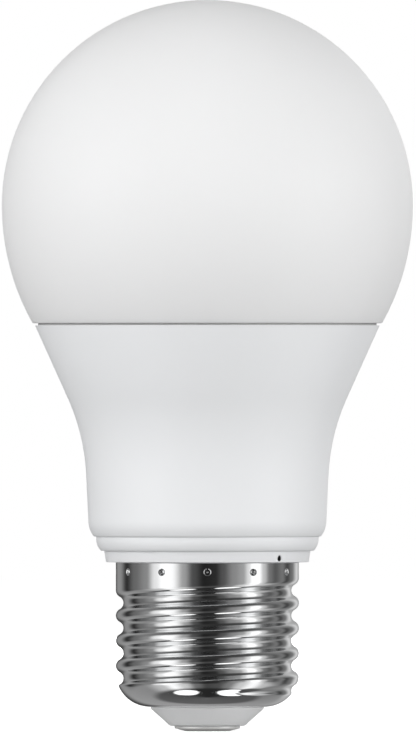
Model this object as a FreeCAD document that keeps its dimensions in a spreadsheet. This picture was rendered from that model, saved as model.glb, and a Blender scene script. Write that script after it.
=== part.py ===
import FreeCAD, Part
import os
import re
from math import atan2, cos, pi, sqrt, tan

import Sketcher

# Smart light bulb, A60 shape, E27 screw cap, in millimetres.
# +Z runs from the centre contact to the top of the globe.  The origin is the middle of
# the contact's flat face, where the bulb meets the lampholder's centre spring.
# -Y is the front.  The driver board stands upright in the XZ plane.

V = FreeCAD.Vector
doc = FreeCAD.newDocument("SmartBulb")

# ---------------------------------------------------------------- driving dimensions

SIZES = [
    # screw cap, E27
    ("contact_thickness", 0.75, "centre contact, head"),
    ("contact_r", 4.75, "centre contact, head"),
    ("contact_face_r", 3.2, "flat part of the head"),
    ("shank_r", 1.5, "contact shank, outside"),
    ("shank_bore_r", 0.9, "contact shank, inside"),
    ("clinch_r", 2.2, "rolled end of the shank"),
    ("sheet", 0.3, "brass sheet of the screw shell"),
    ("shell_r", 13.225, "screw shell, major radius of the thread"),
    ("shell_floor_z", 3.5, "underside of the shell"),
    ("shell_corner", 4.9, "round between floor and side"),
    ("shell_mouth_r", 8.2, "hole in the floor for the insulator"),
    ("shell_top_z", 24.4, "upper rim of the shell"),
    ("thread_pitch", 3.629, "7 turns per inch"),
    ("thread_round", 1.025, "radius of crest and root"),
    ("thread_land", 0.2, "straight stretch on each crest"),
    ("thread_top_z", 20.3, "where the last full groove ends, at azimuth 0"),
    ("thread_turns", 5, "full turns of the groove"),
    ("runout_turns", 0.4, "the groove fades over this part of a turn"),
    ("stake_z", 23.0, "ring of stakes that lock the cap"),
    ("stake_depth", 0.45, "stake"),
    ("stake_mouth_r", 0.5, "stake at the surface"),
    ("stake_tip_r", 0.25, "stake at its tip"),
    ("insulator_face_r", 5.2, "lower face of the insulator"),
    ("insulator_round", 0.7, "round beside that face"),
    ("insulator_flange_r", 11.6, "flange on the shell's floor"),
    ("insulator_top_z", 6.6, "flange, upper face"),
    # plastic housing
    ("fit_play", 0.05, "parts pushed together by hand"),
    ("neck_play", 0.15, "between the neck's thread and the sheet"),
    ("neck_wall", 1.28, "neck wall under the thread's root"),
    ("neck_bottom_z", 8.0, "lower end of the neck"),
    ("neck_top_z", 25.8, "where the bore starts to flare"),
    ("collar_step", 1.425, "collar stands out from the cap"),
    ("collar_draft", 0.25, "collar widens upwards"),
    ("collar_top_z", 26.05, "collar"),
    ("ring_step", 0.5, "second tier stands out from the collar"),
    ("ring_flare", 0.65, "second tier widens upwards"),
    ("ring_round", 2.6, "second tier's convex side"),
    ("ring_top_z", 28.1, "second tier"),
    ("skirt_step", 0.35, "body stands out from the second tier"),
    ("skirt_flare", 0.8, "rounded lower edge of the body"),
    ("skirt_round", 3.85, "rounded lower edge of the body"),
    ("grip_bottom_z", 30.45, "start of the nearly straight grip"),
    ("grip_draft", 0.3, "grip widens upwards"),
    ("grip_top_z", 36.8, "end of the grip"),
    ("waist_flare", 2.54, "concave waist widens upwards"),
    ("waist_round", 30.3, "concave waist"),
    ("waist_top_z", 47.8, "start of the cone"),
    ("rim_z", 58.6, "upper rim of the housing"),
    ("ledge_wall", 0.83, "wall of the cone beside the ledge under the globe's spigot"),
    ("seal_inset", 0.45, "seal stays inside the rim"),
    ("housing_wall", 1.6, "wall elsewhere"),
    ("socket_depth", 2.15, "socket for the globe's spigot"),
    ("bead_height", 0.2, "snap bead on the spigot"),
    ("rib_reach", 1.4, "guide ribs stand in from the bore"),
    ("rib_width", 1.0, "guide ribs"),
    ("shelf_width", 0.6, "shelf that the heat sink stands on"),
    ("vent_r", 0.32, "pressure vent in the collar"),
    ("vent_z", 25.0, "pressure vent"),
    # globe
    ("globe_r", 29.7, "widest radius, and the round top"),
    ("belly_round", 34.7, "profile below the widest place"),
    ("belly_height", 17.0, "widest place above the seam"),
    ("globe_wall", 1.2, "globe"),
    ("globe_overhang", 0.35, "globe stands out from the rim"),
    ("spigot_play", 0.15, "between spigot and socket"),
    ("spigot_wall", 1.1, "spigot"),
    ("spigot_depth", 2.3, "spigot below the seam"),
    ("seal_thickness", 0.3, "silicone ring in the seam"),
    # heat sink, light source
    ("sink_play", 0.15, "heat sink in the housing"),
    ("sink_sheet", 1.0, "aluminium cup"),
    ("sink_drop", 3.4, "cup's plate below the rim"),
    ("pad_thickness", 0.2, "thermal pad"),
    ("led_board_thickness", 1.0, "aluminium-core board"),
    ("led_board_play", 0.87, "board inside the cup's edge"),
    ("led_count", 12, "white packages, half of them warm"),
    ("led_inset", 4.7, "ring of white packages, from the board's edge"),
    ("led_length", 3.5, "white package"),
    ("led_width", 2.8, "white package"),
    ("led_thickness", 0.7, "white package"),
    ("colour_led_ring_r", 10.8, "ring of colour packages"),
    ("colour_led_side", 3.8, "colour package"),
    ("colour_led_thickness", 1.4, "colour package"),
    ("lens_r", 1.2, "phosphor or lens in a package"),
    ("screw_ring_r", 11.5, "board screws"),
    ("screw_r", 1.2, "board screw, shank"),
    ("screw_head_r", 2.2, "board screw, head"),
    ("screw_head_thickness", 1.5, "board screw, head"),
    ("screw_length", 3.6, "board screw, under the head"),
    # driver board
    ("board_thickness", 1.2, "driver board"),
    ("board_stem_play", 0.8, "stem's edge to the neck's bore"),
    ("board_reach", 2.8, "upper edge inside the housing's ledge"),
    ("board_bottom_gap", 2.0, "board above the neck's end"),
    ("board_top_gap", 2.4, "board below the cup's plate"),
    ("standoff", 0.4, "parts stand off the board"),
    ("lead_r", 0.35, "component leads"),
    ("hole_play", 0.1, "leads in their holes"),
    ("lead_tail", 1.0, "leads beyond the board"),
    ("pin", 0.6, "header pins, square"),
    ("pin_pitch", 2.54, "header"),
    ("pin_reach", 1.85, "header pins in front of the board's middle"),
    ("socket_height", 3.8, "board socket"),
    ("header_height", 2.2, "header body"),
    ("can_r", 4.0, "electrolytic capacitor"),
    ("can_length", 11.5, "electrolytic capacitor"),
    ("can_pitch", 3.5, "electrolytic capacitor, leads"),
    ("can_foot", 1.1, "can below its crimp"),
    ("can_crimp", 0.3, "depth of the crimp"),
    ("drum_flange", 1.0, "inductor"),
    ("storage_drum_r", 4.0, "storage inductor"),
    ("storage_drum_length", 8.6, "storage inductor"),
    ("storage_drum_pitch", 5.0, "storage inductor, leads"),
    ("filter_drum_r", 3.0, "filter inductor"),
    ("filter_drum_length", 6.5, "filter inductor"),
    ("filter_drum_pitch", 3.0, "filter inductor, leads"),
    ("core_width", 10.4, "transformer's EE core"),
    ("core_height", 4.8, "transformer's EE core"),
    ("core_depth", 7.6, "transformer's EE core"),
    ("core_yoke", 1.6, "transformer's EE core"),
    ("core_limb", 1.3, "outer limb of the core"),
    ("core_middle", 2.8, "middle limb of the core"),
    ("bobbin_wall", 0.6, "transformer's bobbin"),
    ("bobbin_length", 9.2, "transformer's bobbin, over its flanges"),
    ("rail_length", 9.6, "rail that holds the bobbin's pins"),
    ("rail_span", 9.8, "over both rails"),
    ("film_width", 10.0, "film capacitor"),
    ("film_height", 4.4, "film capacitor"),
    ("film_depth", 7.5, "film capacitor"),
    ("film_pitch", 7.5, "film capacitor, leads"),
    ("disc_r", 3.1, "varistor"),
    ("disc_thickness", 3.0, "varistor"),
    ("disc_pitch", 2.5, "varistor, leads"),
    ("fuse_r", 1.4, "fusible resistor"),
    ("fuse_length", 7.0, "fusible resistor"),
    ("fuse_span", 9.4, "fusible resistor, between its bends"),
    ("leg_width", 0.4, "leg of a flat package"),
    ("leg_thickness", 0.2, "leg of a flat package"),
    ("leg_step", 0.5, "legs stand out, and as much again on the board"),
    # radio module
    ("module_gap", 1.8, "radio board behind the driver board"),
    ("module_thickness", 0.8, "radio board"),
    ("module_width", 14.0, "radio board"),
    ("module_rise", 13.75, "radio board's lower edge above the board's shoulders"),
    ("antenna_rise", 10.8, "radio board's upper edge above the cup's plate"),
    ("slot_play", 0.6, "slot around the radio board"),
    # wires
    ("live_r", 0.55, "live lead"),
    ("neutral_r", 0.4, "neutral lead"),
    ("neutral_groove", 8.0, "groove for the neutral lead, up from the neck's end"),
]

sheet = doc.addObject("Spreadsheet::Sheet", "Sizes")
for row, (alias, value, note) in enumerate(SIZES, start=1):
    sheet.set(f"A{row}", alias)
    sheet.set(f"B{row}", str(value))
    sheet.set(f"C{row}", note)
    sheet.setAlias(f"B{row}", alias)
doc.recompute()

ALIAS = re.compile(r"\b(" + "|".join(alias for alias, value, note in SIZES) + r")\b")


def bound(expression):
    """The expression with each alias named the way other objects reach the sheet."""
    return ALIAS.sub(r"Sizes.\1", str(expression))


def mm(expression):
    """The expression's value now."""
    return float(sheet.evalExpression(str(expression)))


# ---------------------------------------------------------------- shared levels and radii

COLLAR_R = "(shell_r + collar_step)"
COLLAR_TOP_R = f"({COLLAR_R} + collar_draft)"
RING_R = f"({COLLAR_TOP_R} + ring_step)"
RING_TOP_R = f"({RING_R} + ring_flare)"
SKIRT_R = f"({RING_TOP_R} + skirt_step)"
GRIP_R = f"({SKIRT_R} + skirt_flare)"
GRIP_TOP_R = f"({GRIP_R} + grip_draft)"
WAIST_R = f"({GRIP_TOP_R} + waist_flare)"
SEAM_Z = "(rim_z + seal_thickness)"
GLOBE_Z = f"({SEAM_Z} + belly_height)"
SEAM_R = "(globe_r - belly_round + sqrt(belly_round^2 - belly_height^2))"
RIM_R = f"({SEAM_R} - globe_overhang)"
LEDGE_Z = "(rim_z - socket_depth)"
BEAD_Z = "(rim_z - socket_depth / 2)"
SINK_Z = "(rim_z - sink_drop)"
LED_FLOOR_Z = f"({SINK_Z} + pad_thickness)"
LED_Z = f"({LED_FLOOR_Z} + led_board_thickness)"
THREAD_SPAN = "sqrt(4 * thread_round^2 - thread_pitch^2 / 4)"
THREAD_DEPTH = f"(2 * thread_round - {THREAD_SPAN})"
BORE_R = f"(shell_r - {THREAD_DEPTH} - sheet - neck_play - neck_wall)"
FLOOR_Z = "(shell_floor_z + sheet)"
SHELF_Z = f"(neck_top_z + {GRIP_R} - housing_wall - shelf_width - {BORE_R})"
STEM_X = f"({BORE_R} - board_stem_play)"
BOARD_X = f"({GRIP_R} - housing_wall - board_reach)"
BOARD_BOTTOM_Z = "(neck_bottom_z + board_bottom_gap)"
SHOULDER_Z = f"(neck_top_z + {BOARD_X} - {BORE_R} + fit_play)"
BOARD_TOP_Z = f"({SINK_Z} - sink_sheet - board_top_gap)"
FACE = "(board_thickness / 2)"
MODULE_Y = f"({FACE} + module_gap)"
MODULE_BACK_Y = f"({MODULE_Y} + module_thickness)"
MODULE_Z = f"({SHOULDER_Z} + module_rise)"
MODULE_TOP_Z = f"({SINK_Z} + antenna_rise)"


def cone_r(height, inset):
    """Radius of the housing's cone at a height, moved in by an inset."""
    slope = f"({RIM_R} - {WAIST_R}) / (rim_z - waist_top_z)"
    return f"({WAIST_R} + ({height} - waist_top_z) * {slope} - ({inset}))"


SOCKET_R = cone_r(LEDGE_Z, "ledge_wall")
SPIGOT_R = f"({SOCKET_R} - spigot_play)"


# ---------------------------------------------------------------- modelling helpers

NODES = []


def keep(piece, label):
    """Give a finished sub-part its name and list it for the final check."""
    piece.Label = label
    NODES.append(piece)
    return piece


def new_body(name):
    return doc.addObject("PartDesign::Body", name)


def origin_feature(body, role):
    return next(item for item in body.Origin.OriginFeatures if item.Role == role)


def sketch_on(body, role, offset=None):
    """A sketch on one of the body's own origin planes, moved along its normal."""
    sketch = body.newObject("Sketcher::SketchObject", "Profile")
    sketch.AttachmentSupport = (origin_feature(body, role), [""])
    sketch.MapMode = "FlatFace"
    if offset is not None:
        sketch.setExpression(".AttachmentOffset.Base.z", bound(offset))
    return sketch


def hold(sketch, kind, *places, value):
    """Add a measured constraint and tie it to its expression."""
    number = sketch.addConstraint(Sketcher.Constraint(kind, *places, mm(value)))
    sketch.setExpression(f"Constraints[{number}]", bound(value))


def pin_point(sketch, index, end, x, y):
    """Fix a point of the sketch at x, y from the sketch's origin."""
    for kind, axis, value in (("DistanceX", -2, x), ("DistanceY", -1, y)):
        if value == 0:
            sketch.addConstraint(Sketcher.Constraint("PointOnObject", index, end, axis))
        else:
            hold(sketch, kind, -1, 1, index, end, value=value)


def arc_between(first, last, radius, side):
    """The short arc between two points, its centre on the left (1) or right (-1)."""
    chord = last - first
    left = V(-chord.y, chord.x, 0) / chord.Length
    centre = (first + last) / 2 + left * side * sqrt(radius**2 - chord.Length**2 / 4)
    ends = (first, last) if side > 0 else (last, first)
    start, stop = [atan2(end.y - centre.y, end.x - centre.x) for end in ends]
    if stop < start:
        stop += 2 * pi
    return Part.ArcOfCircle(Part.Circle(centre, V(0, 0, 1), radius), start, stop)


def draw_outline(sketch, corners):
    """Draw a closed outline.  A corner is (x, y), or (x, y, radius, side) where the edge
    that leaves it is an arc."""
    points = [V(mm(corner[0]), mm(corner[1]), 0) for corner in corners]
    edges = []
    for number, corner in enumerate(corners):
        first = points[number]
        last = points[(number + 1) % len(points)]
        backwards = False
        if len(corner) == 4:
            curve = arc_between(first, last, mm(corner[2]), corner[3])
            backwards = corner[3] < 0
        else:
            curve = Part.LineSegment(first, last)
        index = sketch.addGeometry(curve)
        edges.append((index, 2 if backwards else 1, 1 if backwards else 2))
    for number, corner in enumerate(corners):
        index, start, stop = edges[number]
        next_index, next_start, next_stop = edges[(number + 1) % len(corners)]
        sketch.addConstraint(Sketcher.Constraint("Coincident", index, stop, next_index, next_start))
        pin_point(sketch, index, start, corner[0], corner[1])
        if len(corner) == 4:
            hold(sketch, "Radius", index, value=corner[2])


def draw_circle(sketch, x, y, radius):
    circle = Part.Circle(V(mm(x), mm(y), 0), V(0, 0, 1), mm(radius))
    index = sketch.addGeometry(circle)
    pin_point(sketch, index, 3, x, y)
    hold(sketch, "Radius", index, value=radius)


def rectangle(x_low, x_high, y_low, y_high):
    return [(x_low, y_low), (x_high, y_low), (x_high, y_high), (x_low, y_high)]


def revolve(body, corners):
    """Turn an outline of (radius, height) corners about the body's Z axis."""
    sketch = sketch_on(body, "XZ_Plane")
    draw_outline(sketch, corners)
    turned = body.newObject("PartDesign::Revolution", "Turned")
    turned.Profile = sketch
    turned.ReferenceAxis = (sketch, ["V_Axis"])
    turned.Angle = 360
    sketch.Visibility = False
    return turned


def extrude(body, sketch, kind, length, backwards=False):
    """Pad or pocket a sketch by a length."""
    feature = body.newObject(f"PartDesign::{kind}", kind)
    feature.Profile = sketch
    feature.setExpression("Length", bound(length))
    feature.Reversed = backwards
    return feature


def repeat_round(body, feature, count):
    """Repeat a feature evenly about the body's Z axis."""
    pattern = body.newObject("PartDesign::PolarPattern", "Round")
    pattern.Originals = [feature]
    pattern.Axis = (origin_feature(body, "Z_Axis"), [""])
    pattern.Angle = 360
    pattern.setExpression("Occurrences", bound(count))
    body.Tip = pattern
    return pattern


def place(piece, x, y, z, rotation=None):
    """Place a primitive; its position stays tied to the sheet."""
    piece.Placement = FreeCAD.Placement(V(), rotation or FreeCAD.Rotation())
    for axis, value in zip("xyz", (x, y, z)):
        piece.setExpression(f"Placement.Base.{axis}", bound(value))
    return piece


def block(low, high, name="Block"):
    """A box between two corners."""
    box = doc.addObject("Part::Box", name)
    for side, start, stop in zip(("Length", "Width", "Height"), low, high):
        box.setExpression(side, bound(f"({stop}) - ({start})"))
    return place(box, *low)


def ordered(near, far, side):
    """Two limits, lowest first, when the second lies on the given side."""
    return (near, far) if side > 0 else (far, near)


def body_box(body, x_range, y_range, z_range):
    """A box added to a body."""
    box = body.newObject("PartDesign::AdditiveBox", "Rib")
    for side, (start, stop) in zip(("Length", "Width", "Height"), (x_range, y_range, z_range)):
        box.setExpression(side, bound(f"({stop}) - ({start})"))
    for axis, (start, stop) in zip("xyz", (x_range, y_range, z_range)):
        box.setExpression(f"Placement.Base.{axis}", bound(start))
    return box


UPRIGHT = FreeCAD.Rotation()
FORWARD = FreeCAD.Rotation(V(1, 0, 0), 90)
BACKWARD = FreeCAD.Rotation(V(1, 0, 0), -90)


def rod(x, y, z, radius, length, direction=UPRIGHT, name="Rod"):
    """A cylinder from a point along a direction."""
    cylinder = doc.addObject("Part::Cylinder", name)
    cylinder.setExpression("Radius", bound(radius))
    cylinder.setExpression("Height", bound(length))
    return place(cylinder, x, y, z, direction)


def joined(pieces):
    """Several shapes that touch, made one solid."""
    if len(pieces) == 1:
        return pieces[0]
    union = doc.addObject("Part::MultiFuse", "Joined")
    union.Shapes = pieces
    union.Refine = True
    return union


def group(pieces):
    """Separate solids that share a node."""
    compound = doc.addObject("Part::Compound", "Group")
    compound.Links = pieces
    return compound


def less(base, tool):
    """A shape with another cut out of it."""
    cut = doc.addObject("Part::Cut", "Less")
    cut.Base = base
    cut.Tool = tool
    return cut


# ---------------------------------------------------------------- screw thread and stakes

def thread_outline(inset, middle):
    """One turn's groove in the E27 thread: a round root between two half crests, for a
    surface that lies inside the thread's outer face by an inset."""
    root_r = f"(shell_r - {THREAD_DEPTH} + thread_round)"
    lean_r = f"(thread_round + {inset}) * {THREAD_SPAN} / (2 * thread_round)"
    lean_z = f"(thread_round + {inset}) * thread_pitch / (4 * thread_round)"
    crest = f"(thread_round - ({inset}))"
    top_r = f"(shell_r - thread_round + sqrt({crest}^2 - thread_land^2 / 4))"
    half = "(thread_pitch / 2 - thread_land / 2)"
    clear_r = f"({top_r} + 2 * sheet)"
    return [
        (top_r, f"{middle} - {half}", crest, 1),
        (f"{root_r} - {lean_r}", f"{middle} - {lean_z}", f"(thread_round + {inset})", -1),
        (f"{root_r} - {lean_r}", f"{middle} + {lean_z}", crest, 1),
        (top_r, f"{middle} + {half}"),
        (clear_r, f"{middle} + {half}"),
        (clear_r, f"{middle} - {half}"),
    ]


def cut_thread(body, inset):
    """Cut the groove up the body, then let it fade out over part of a turn."""
    foot = "(thread_top_z - thread_turns * thread_pitch)"
    full = sketch_on(body, "XZ_Plane")
    draw_outline(full, thread_outline(inset, foot))
    coil = body.newObject("PartDesign::SubtractiveHelix", "Groove")
    coil.Profile = full
    coil.ReferenceAxis = (full, ["V_Axis"])
    coil.Mode = "pitch-height-angle"
    coil.setExpression("Pitch", bound("thread_pitch"))
    coil.setExpression("Height", bound("thread_turns * thread_pitch"))
    coil.Angle = 0
    coil.Growth = 0
    end = sketch_on(body, "XZ_Plane")
    draw_outline(end, thread_outline(inset, "(thread_top_z)"))
    fade = body.newObject("PartDesign::SubtractiveHelix", "Runout")
    fade.Profile = end
    fade.ReferenceAxis = (end, ["V_Axis"])
    fade.Mode = "height-turns-growth"
    fade.setExpression("Height", bound("runout_turns * thread_pitch"))
    fade.setExpression("Turns", bound("runout_turns"))
    fade.setExpression("Growth", bound(f"{THREAD_DEPTH} / runout_turns"))


STAKE_COUNT = 12


def cut_stakes(body, inset):
    """Press a ring of small tapered pits in from the side, one of them at the front."""
    pit = body.newObject("PartDesign::SubtractiveCone", "Stake")
    tip_y = f"(shell_r - stake_depth - ({inset}))"
    clear = "sheet"
    taper = "(stake_mouth_r - stake_tip_r) / stake_depth"
    pit.setExpression("Radius1", bound(f"stake_tip_r + {inset}"))
    pit.setExpression("Radius2", bound(f"stake_mouth_r + {inset} + {clear} * {taper}"))
    pit.setExpression("Height", bound(f"stake_depth + {clear}"))
    pit.Placement = FreeCAD.Placement(V(), FORWARD)
    pit.setExpression("Placement.Base.y", bound(f"-{tip_y}"))
    pit.setExpression("Placement.Base.z", bound("stake_z"))
    repeat_round(body, pit, STAKE_COUNT)


# ---------------------------------------------------------------- cap

def shell_volume(inset, bottom, top):
    """The shell's outer face, or with an inset its inner face, as a solid."""
    body = new_body("ShellVolume")
    side = f"(shell_r - ({inset}))"
    corner = f"(shell_corner - ({inset}))"
    centre_r = "(shell_r - shell_corner)"
    revolve(body, [
        (0, bottom),
        (centre_r, bottom, corner, 1),
        (side, "shell_floor_z + shell_corner"),
        (side, top),
        (0, top),
    ])
    cut_thread(body, inset)
    cut_stakes(body, inset)
    return body


def build_cap():
    outside = shell_volume("0", "shell_floor_z", "shell_top_z")
    inside = shell_volume("sheet", FLOOR_Z, "(shell_top_z + 1)")
    mouth = rod(0, 0, "shell_floor_z - 1", "shell_mouth_r", "sheet + 2")
    keep(less(less(outside, inside), mouth), "screw_shell")

    insulator = new_body("Insulator")
    waist = "(shell_mouth_r - fit_play)"
    flange_low = f"({FLOOR_Z} + (insulator_flange_r - {waist}) * 0.45)"
    revolve(insulator, [
        ("shank_r + fit_play", "contact_thickness"),
        ("insulator_face_r", "contact_thickness", "insulator_round", 1),
        ("insulator_face_r + 0.85 * insulator_round", "contact_thickness + insulator_round / 2"),
        (waist, "shell_floor_z - sheet"),
        (waist, FLOOR_Z),
        ("shell_r - shell_corner", FLOOR_Z),
        ("insulator_flange_r", flange_low),
        ("insulator_flange_r", "insulator_top_z"),
        ("shank_r + fit_play", "insulator_top_z"),
    ])
    keep(insulator, "cap_insulator")

    contact = new_body("Contact")
    revolve(contact, [
        (0, 0),
        ("contact_face_r", 0),
        ("contact_r", "contact_thickness / 2"),
        ("contact_r", "contact_thickness"),
        ("shank_r", "contact_thickness"),
        ("shank_r", "insulator_top_z"),
        ("clinch_r", "insulator_top_z"),
        ("clinch_r", "insulator_top_z + sheet"),
        ("shank_bore_r", "insulator_top_z + sheet"),
        ("shank_bore_r", "contact_thickness + sheet"),
        (0, "contact_thickness + sheet"),
    ])
    keep(contact, "centre_contact")


# ---------------------------------------------------------------- housing and globe

def build_housing():
    housing = new_body("Housing")
    neck_inset = "(sheet + neck_play)"
    neck_r = f"(shell_r - {neck_inset})"
    inner_grip_r = f"({GRIP_R} - housing_wall)"
    bead = "bead_height"
    revolve(housing, [
        (neck_r, "neck_bottom_z"),
        (neck_r, "shell_top_z"),
        (COLLAR_R, "shell_top_z"),
        (COLLAR_TOP_R, "collar_top_z"),
        (RING_R, "collar_top_z", "ring_round", 1),
        (RING_TOP_R, "ring_top_z"),
        (SKIRT_R, "ring_top_z", "skirt_round", 1),
        (GRIP_R, "grip_bottom_z"),
        (GRIP_TOP_R, "grip_top_z", "waist_round", -1),
        (WAIST_R, "waist_top_z"),
        (RIM_R, "rim_z"),
        (SOCKET_R, "rim_z"),
        (SOCKET_R, f"{BEAD_Z} + 2 * {bead}"),
        (f"{SOCKET_R} + {bead}", f"{BEAD_Z} + {bead}"),
        (f"{SOCKET_R} + {bead}", f"{BEAD_Z} - {bead}"),
        (SOCKET_R, f"{BEAD_Z} - 2 * {bead}"),
        (SOCKET_R, LEDGE_Z),
        (cone_r(LEDGE_Z, "housing_wall"), LEDGE_Z),
        (f"{WAIST_R} - housing_wall", "waist_top_z", "waist_round", 1),
        (f"{GRIP_TOP_R} - housing_wall", "grip_top_z"),
        (inner_grip_r, SHELF_Z),
        (f"{inner_grip_r} - shelf_width", SHELF_Z),
        (BORE_R, "neck_top_z"),
        (BORE_R, "neck_bottom_z"),
    ])
    cut_thread(housing, neck_inset)
    cut_stakes(housing, neck_inset)

    # groove down the left of the neck, for the neutral lead
    slot = sketch_on(housing, "XY_Plane", "neck_bottom_z - 1")
    slot_half = "(neutral_r + sheet)"
    draw_outline(slot, rectangle("-shell_r", f"-({BORE_R} + neck_wall - 2 * neutral_r)",
                                 f"-{slot_half}", slot_half))
    extrude(housing, slot, "Pocket", "neutral_groove + 1", backwards=True)

    # four ribs that guide the driver board's edges
    for side in (-1, 1):
        for face in (-1, 1):
            rib = body_box(
                housing,
                ordered(f"{side} * ({BORE_R} - rib_reach)", f"{side} * ({BORE_R} + sheet)", side),
                ordered(f"{face} * ({FACE} + hole_play)",
                        f"{face} * ({FACE} + hole_play + rib_width)", face),
                ("neck_bottom_z", "neck_top_z"),
            )
            housing.Tip = rib

    # pressure vent through the collar, to the right of the front
    vent = housing.newObject("PartDesign::SubtractiveCylinder", "Vent")
    vent.setExpression("Radius", bound("vent_r"))
    vent.setExpression("Height", bound(COLLAR_TOP_R))
    vent.Placement = FreeCAD.Placement(V(), FreeCAD.Rotation(V(1, 1, 0), 90))
    vent.setExpression("Placement.Base.x", bound(f"({BORE_R} - 1) * sqrt(0.5)"))
    vent.setExpression("Placement.Base.y", bound(f"-({BORE_R} - 1) * sqrt(0.5)"))
    vent.setExpression("Placement.Base.z", bound("vent_z"))
    keep(housing, "outer_housing")


def build_globe():
    globe = new_body("Globe")
    inner_r = "(globe_r - globe_wall)"
    inner_round = "(belly_round - globe_wall)"
    foot_z = f"({SEAM_Z} + 1.25 * globe_wall)"
    foot_drop = f"({GLOBE_Z} - {foot_z})"
    foot_r = f"(globe_r - belly_round + sqrt({inner_round}^2 - {foot_drop}^2))"
    spigot_bottom = f"({SEAM_Z} - spigot_depth)"
    bead = "bead_height"
    revolve(globe, [
        (SPIGOT_R, spigot_bottom),
        (SPIGOT_R, f"{BEAD_Z} - 1.5 * {bead}"),
        (f"{SPIGOT_R} + {bead}", f"{BEAD_Z} - {bead} / 2"),
        (f"{SPIGOT_R} + {bead}", f"{BEAD_Z} + {bead} / 2"),
        (SPIGOT_R, f"{BEAD_Z} + 1.5 * {bead}"),
        (SPIGOT_R, SEAM_Z),
        (SEAM_R, SEAM_Z, "belly_round", 1),
        ("globe_r", GLOBE_Z, "globe_r", 1),
        (0, f"{GLOBE_Z} + globe_r"),
        (0, f"{GLOBE_Z} + {inner_r}", inner_r, -1),
        (inner_r, GLOBE_Z, inner_round, -1),
        (foot_r, foot_z),
        (f"{SPIGOT_R} - spigot_wall", f"{SEAM_Z} + globe_wall"),
        (f"{SPIGOT_R} - spigot_wall", spigot_bottom),
    ])
    keep(globe, "diffuser_globe")

    seal = new_body("Seal")
    seal_r = f"({RIM_R} - seal_inset)"
    revolve(seal, [
        (f"{SOCKET_R} + spigot_play", "rim_z"),
        (seal_r, "rim_z"),
        (seal_r, SEAM_Z),
        (f"{SOCKET_R} + spigot_play", SEAM_Z),
    ])
    keep(seal, "globe_seal")


# ---------------------------------------------------------------- heat sink and light source

PIN_COUNT = 5
SCREW_ANGLES = (45, 225)


def pin_positions():
    """Middle of each header pin, along X."""
    return [f"({number - (PIN_COUNT - 1) / 2}) * pin_pitch" for number in range(PIN_COUNT)]


def passages(body, bottom):
    """Cut the ways for the radio board and the header pins up through a flat plate."""
    play = "slot_play"
    ways = sketch_on(body, "XY_Plane", bottom)
    half = f"(module_width / 2 + {play})"
    draw_outline(ways, rectangle(f"-{half}", half, f"{MODULE_Y} - {play}",
                                 f"{MODULE_BACK_Y} + {play}"))
    across = f"({(PIN_COUNT - 1) / 2} * pin_pitch + pin / 2 + {play})"
    draw_outline(ways, rectangle(f"-{across}", across, f"-(pin_reach + pin / 2 + {play})",
                                 f"-(pin_reach - pin / 2 - {play})"))
    return extrude(body, ways, "Pocket", "sink_sheet + 1", backwards=True)


def screw_holes(body, bottom, radius):
    holes = sketch_on(body, "XY_Plane", bottom)
    for angle in SCREW_ANGLES:
        draw_circle(holes, f"screw_ring_r * cos({angle})", f"screw_ring_r * sin({angle})", radius)
    return extrude(body, holes, "Pocket", "sink_sheet + 1", backwards=True)


def build_heat_sink():
    sink = new_body("HeatSink")
    outer = "(housing_wall + sink_play)"
    inner = "(housing_wall + sink_play + sink_sheet)"
    plate_z = f"({SINK_Z} - sink_sheet)"
    revolve(sink, [
        (f"{GRIP_R} - {outer}", SHELF_Z),
        (f"{GRIP_TOP_R} - {outer}", "grip_top_z", "waist_round", -1),
        (f"{WAIST_R} - {outer}", "waist_top_z"),
        (cone_r(SINK_Z, outer), SINK_Z),
        (0, SINK_Z),
        (0, plate_z),
        (cone_r(plate_z, inner), plate_z),
        (f"{WAIST_R} - {inner}", "waist_top_z", "waist_round", 1),
        (f"{GRIP_TOP_R} - {inner}", "grip_top_z"),
        (f"{GRIP_R} - {inner}", SHELF_Z),
    ])
    passages(sink, f"{plate_z} - 0.5")
    screw_holes(sink, f"{plate_z} - 0.5", "screw_r")
    keep(sink, "heat_sink_cup")


def board_r():
    return f"({cone_r(SINK_Z, 'housing_wall + sink_play')} - led_board_play)"


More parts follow.
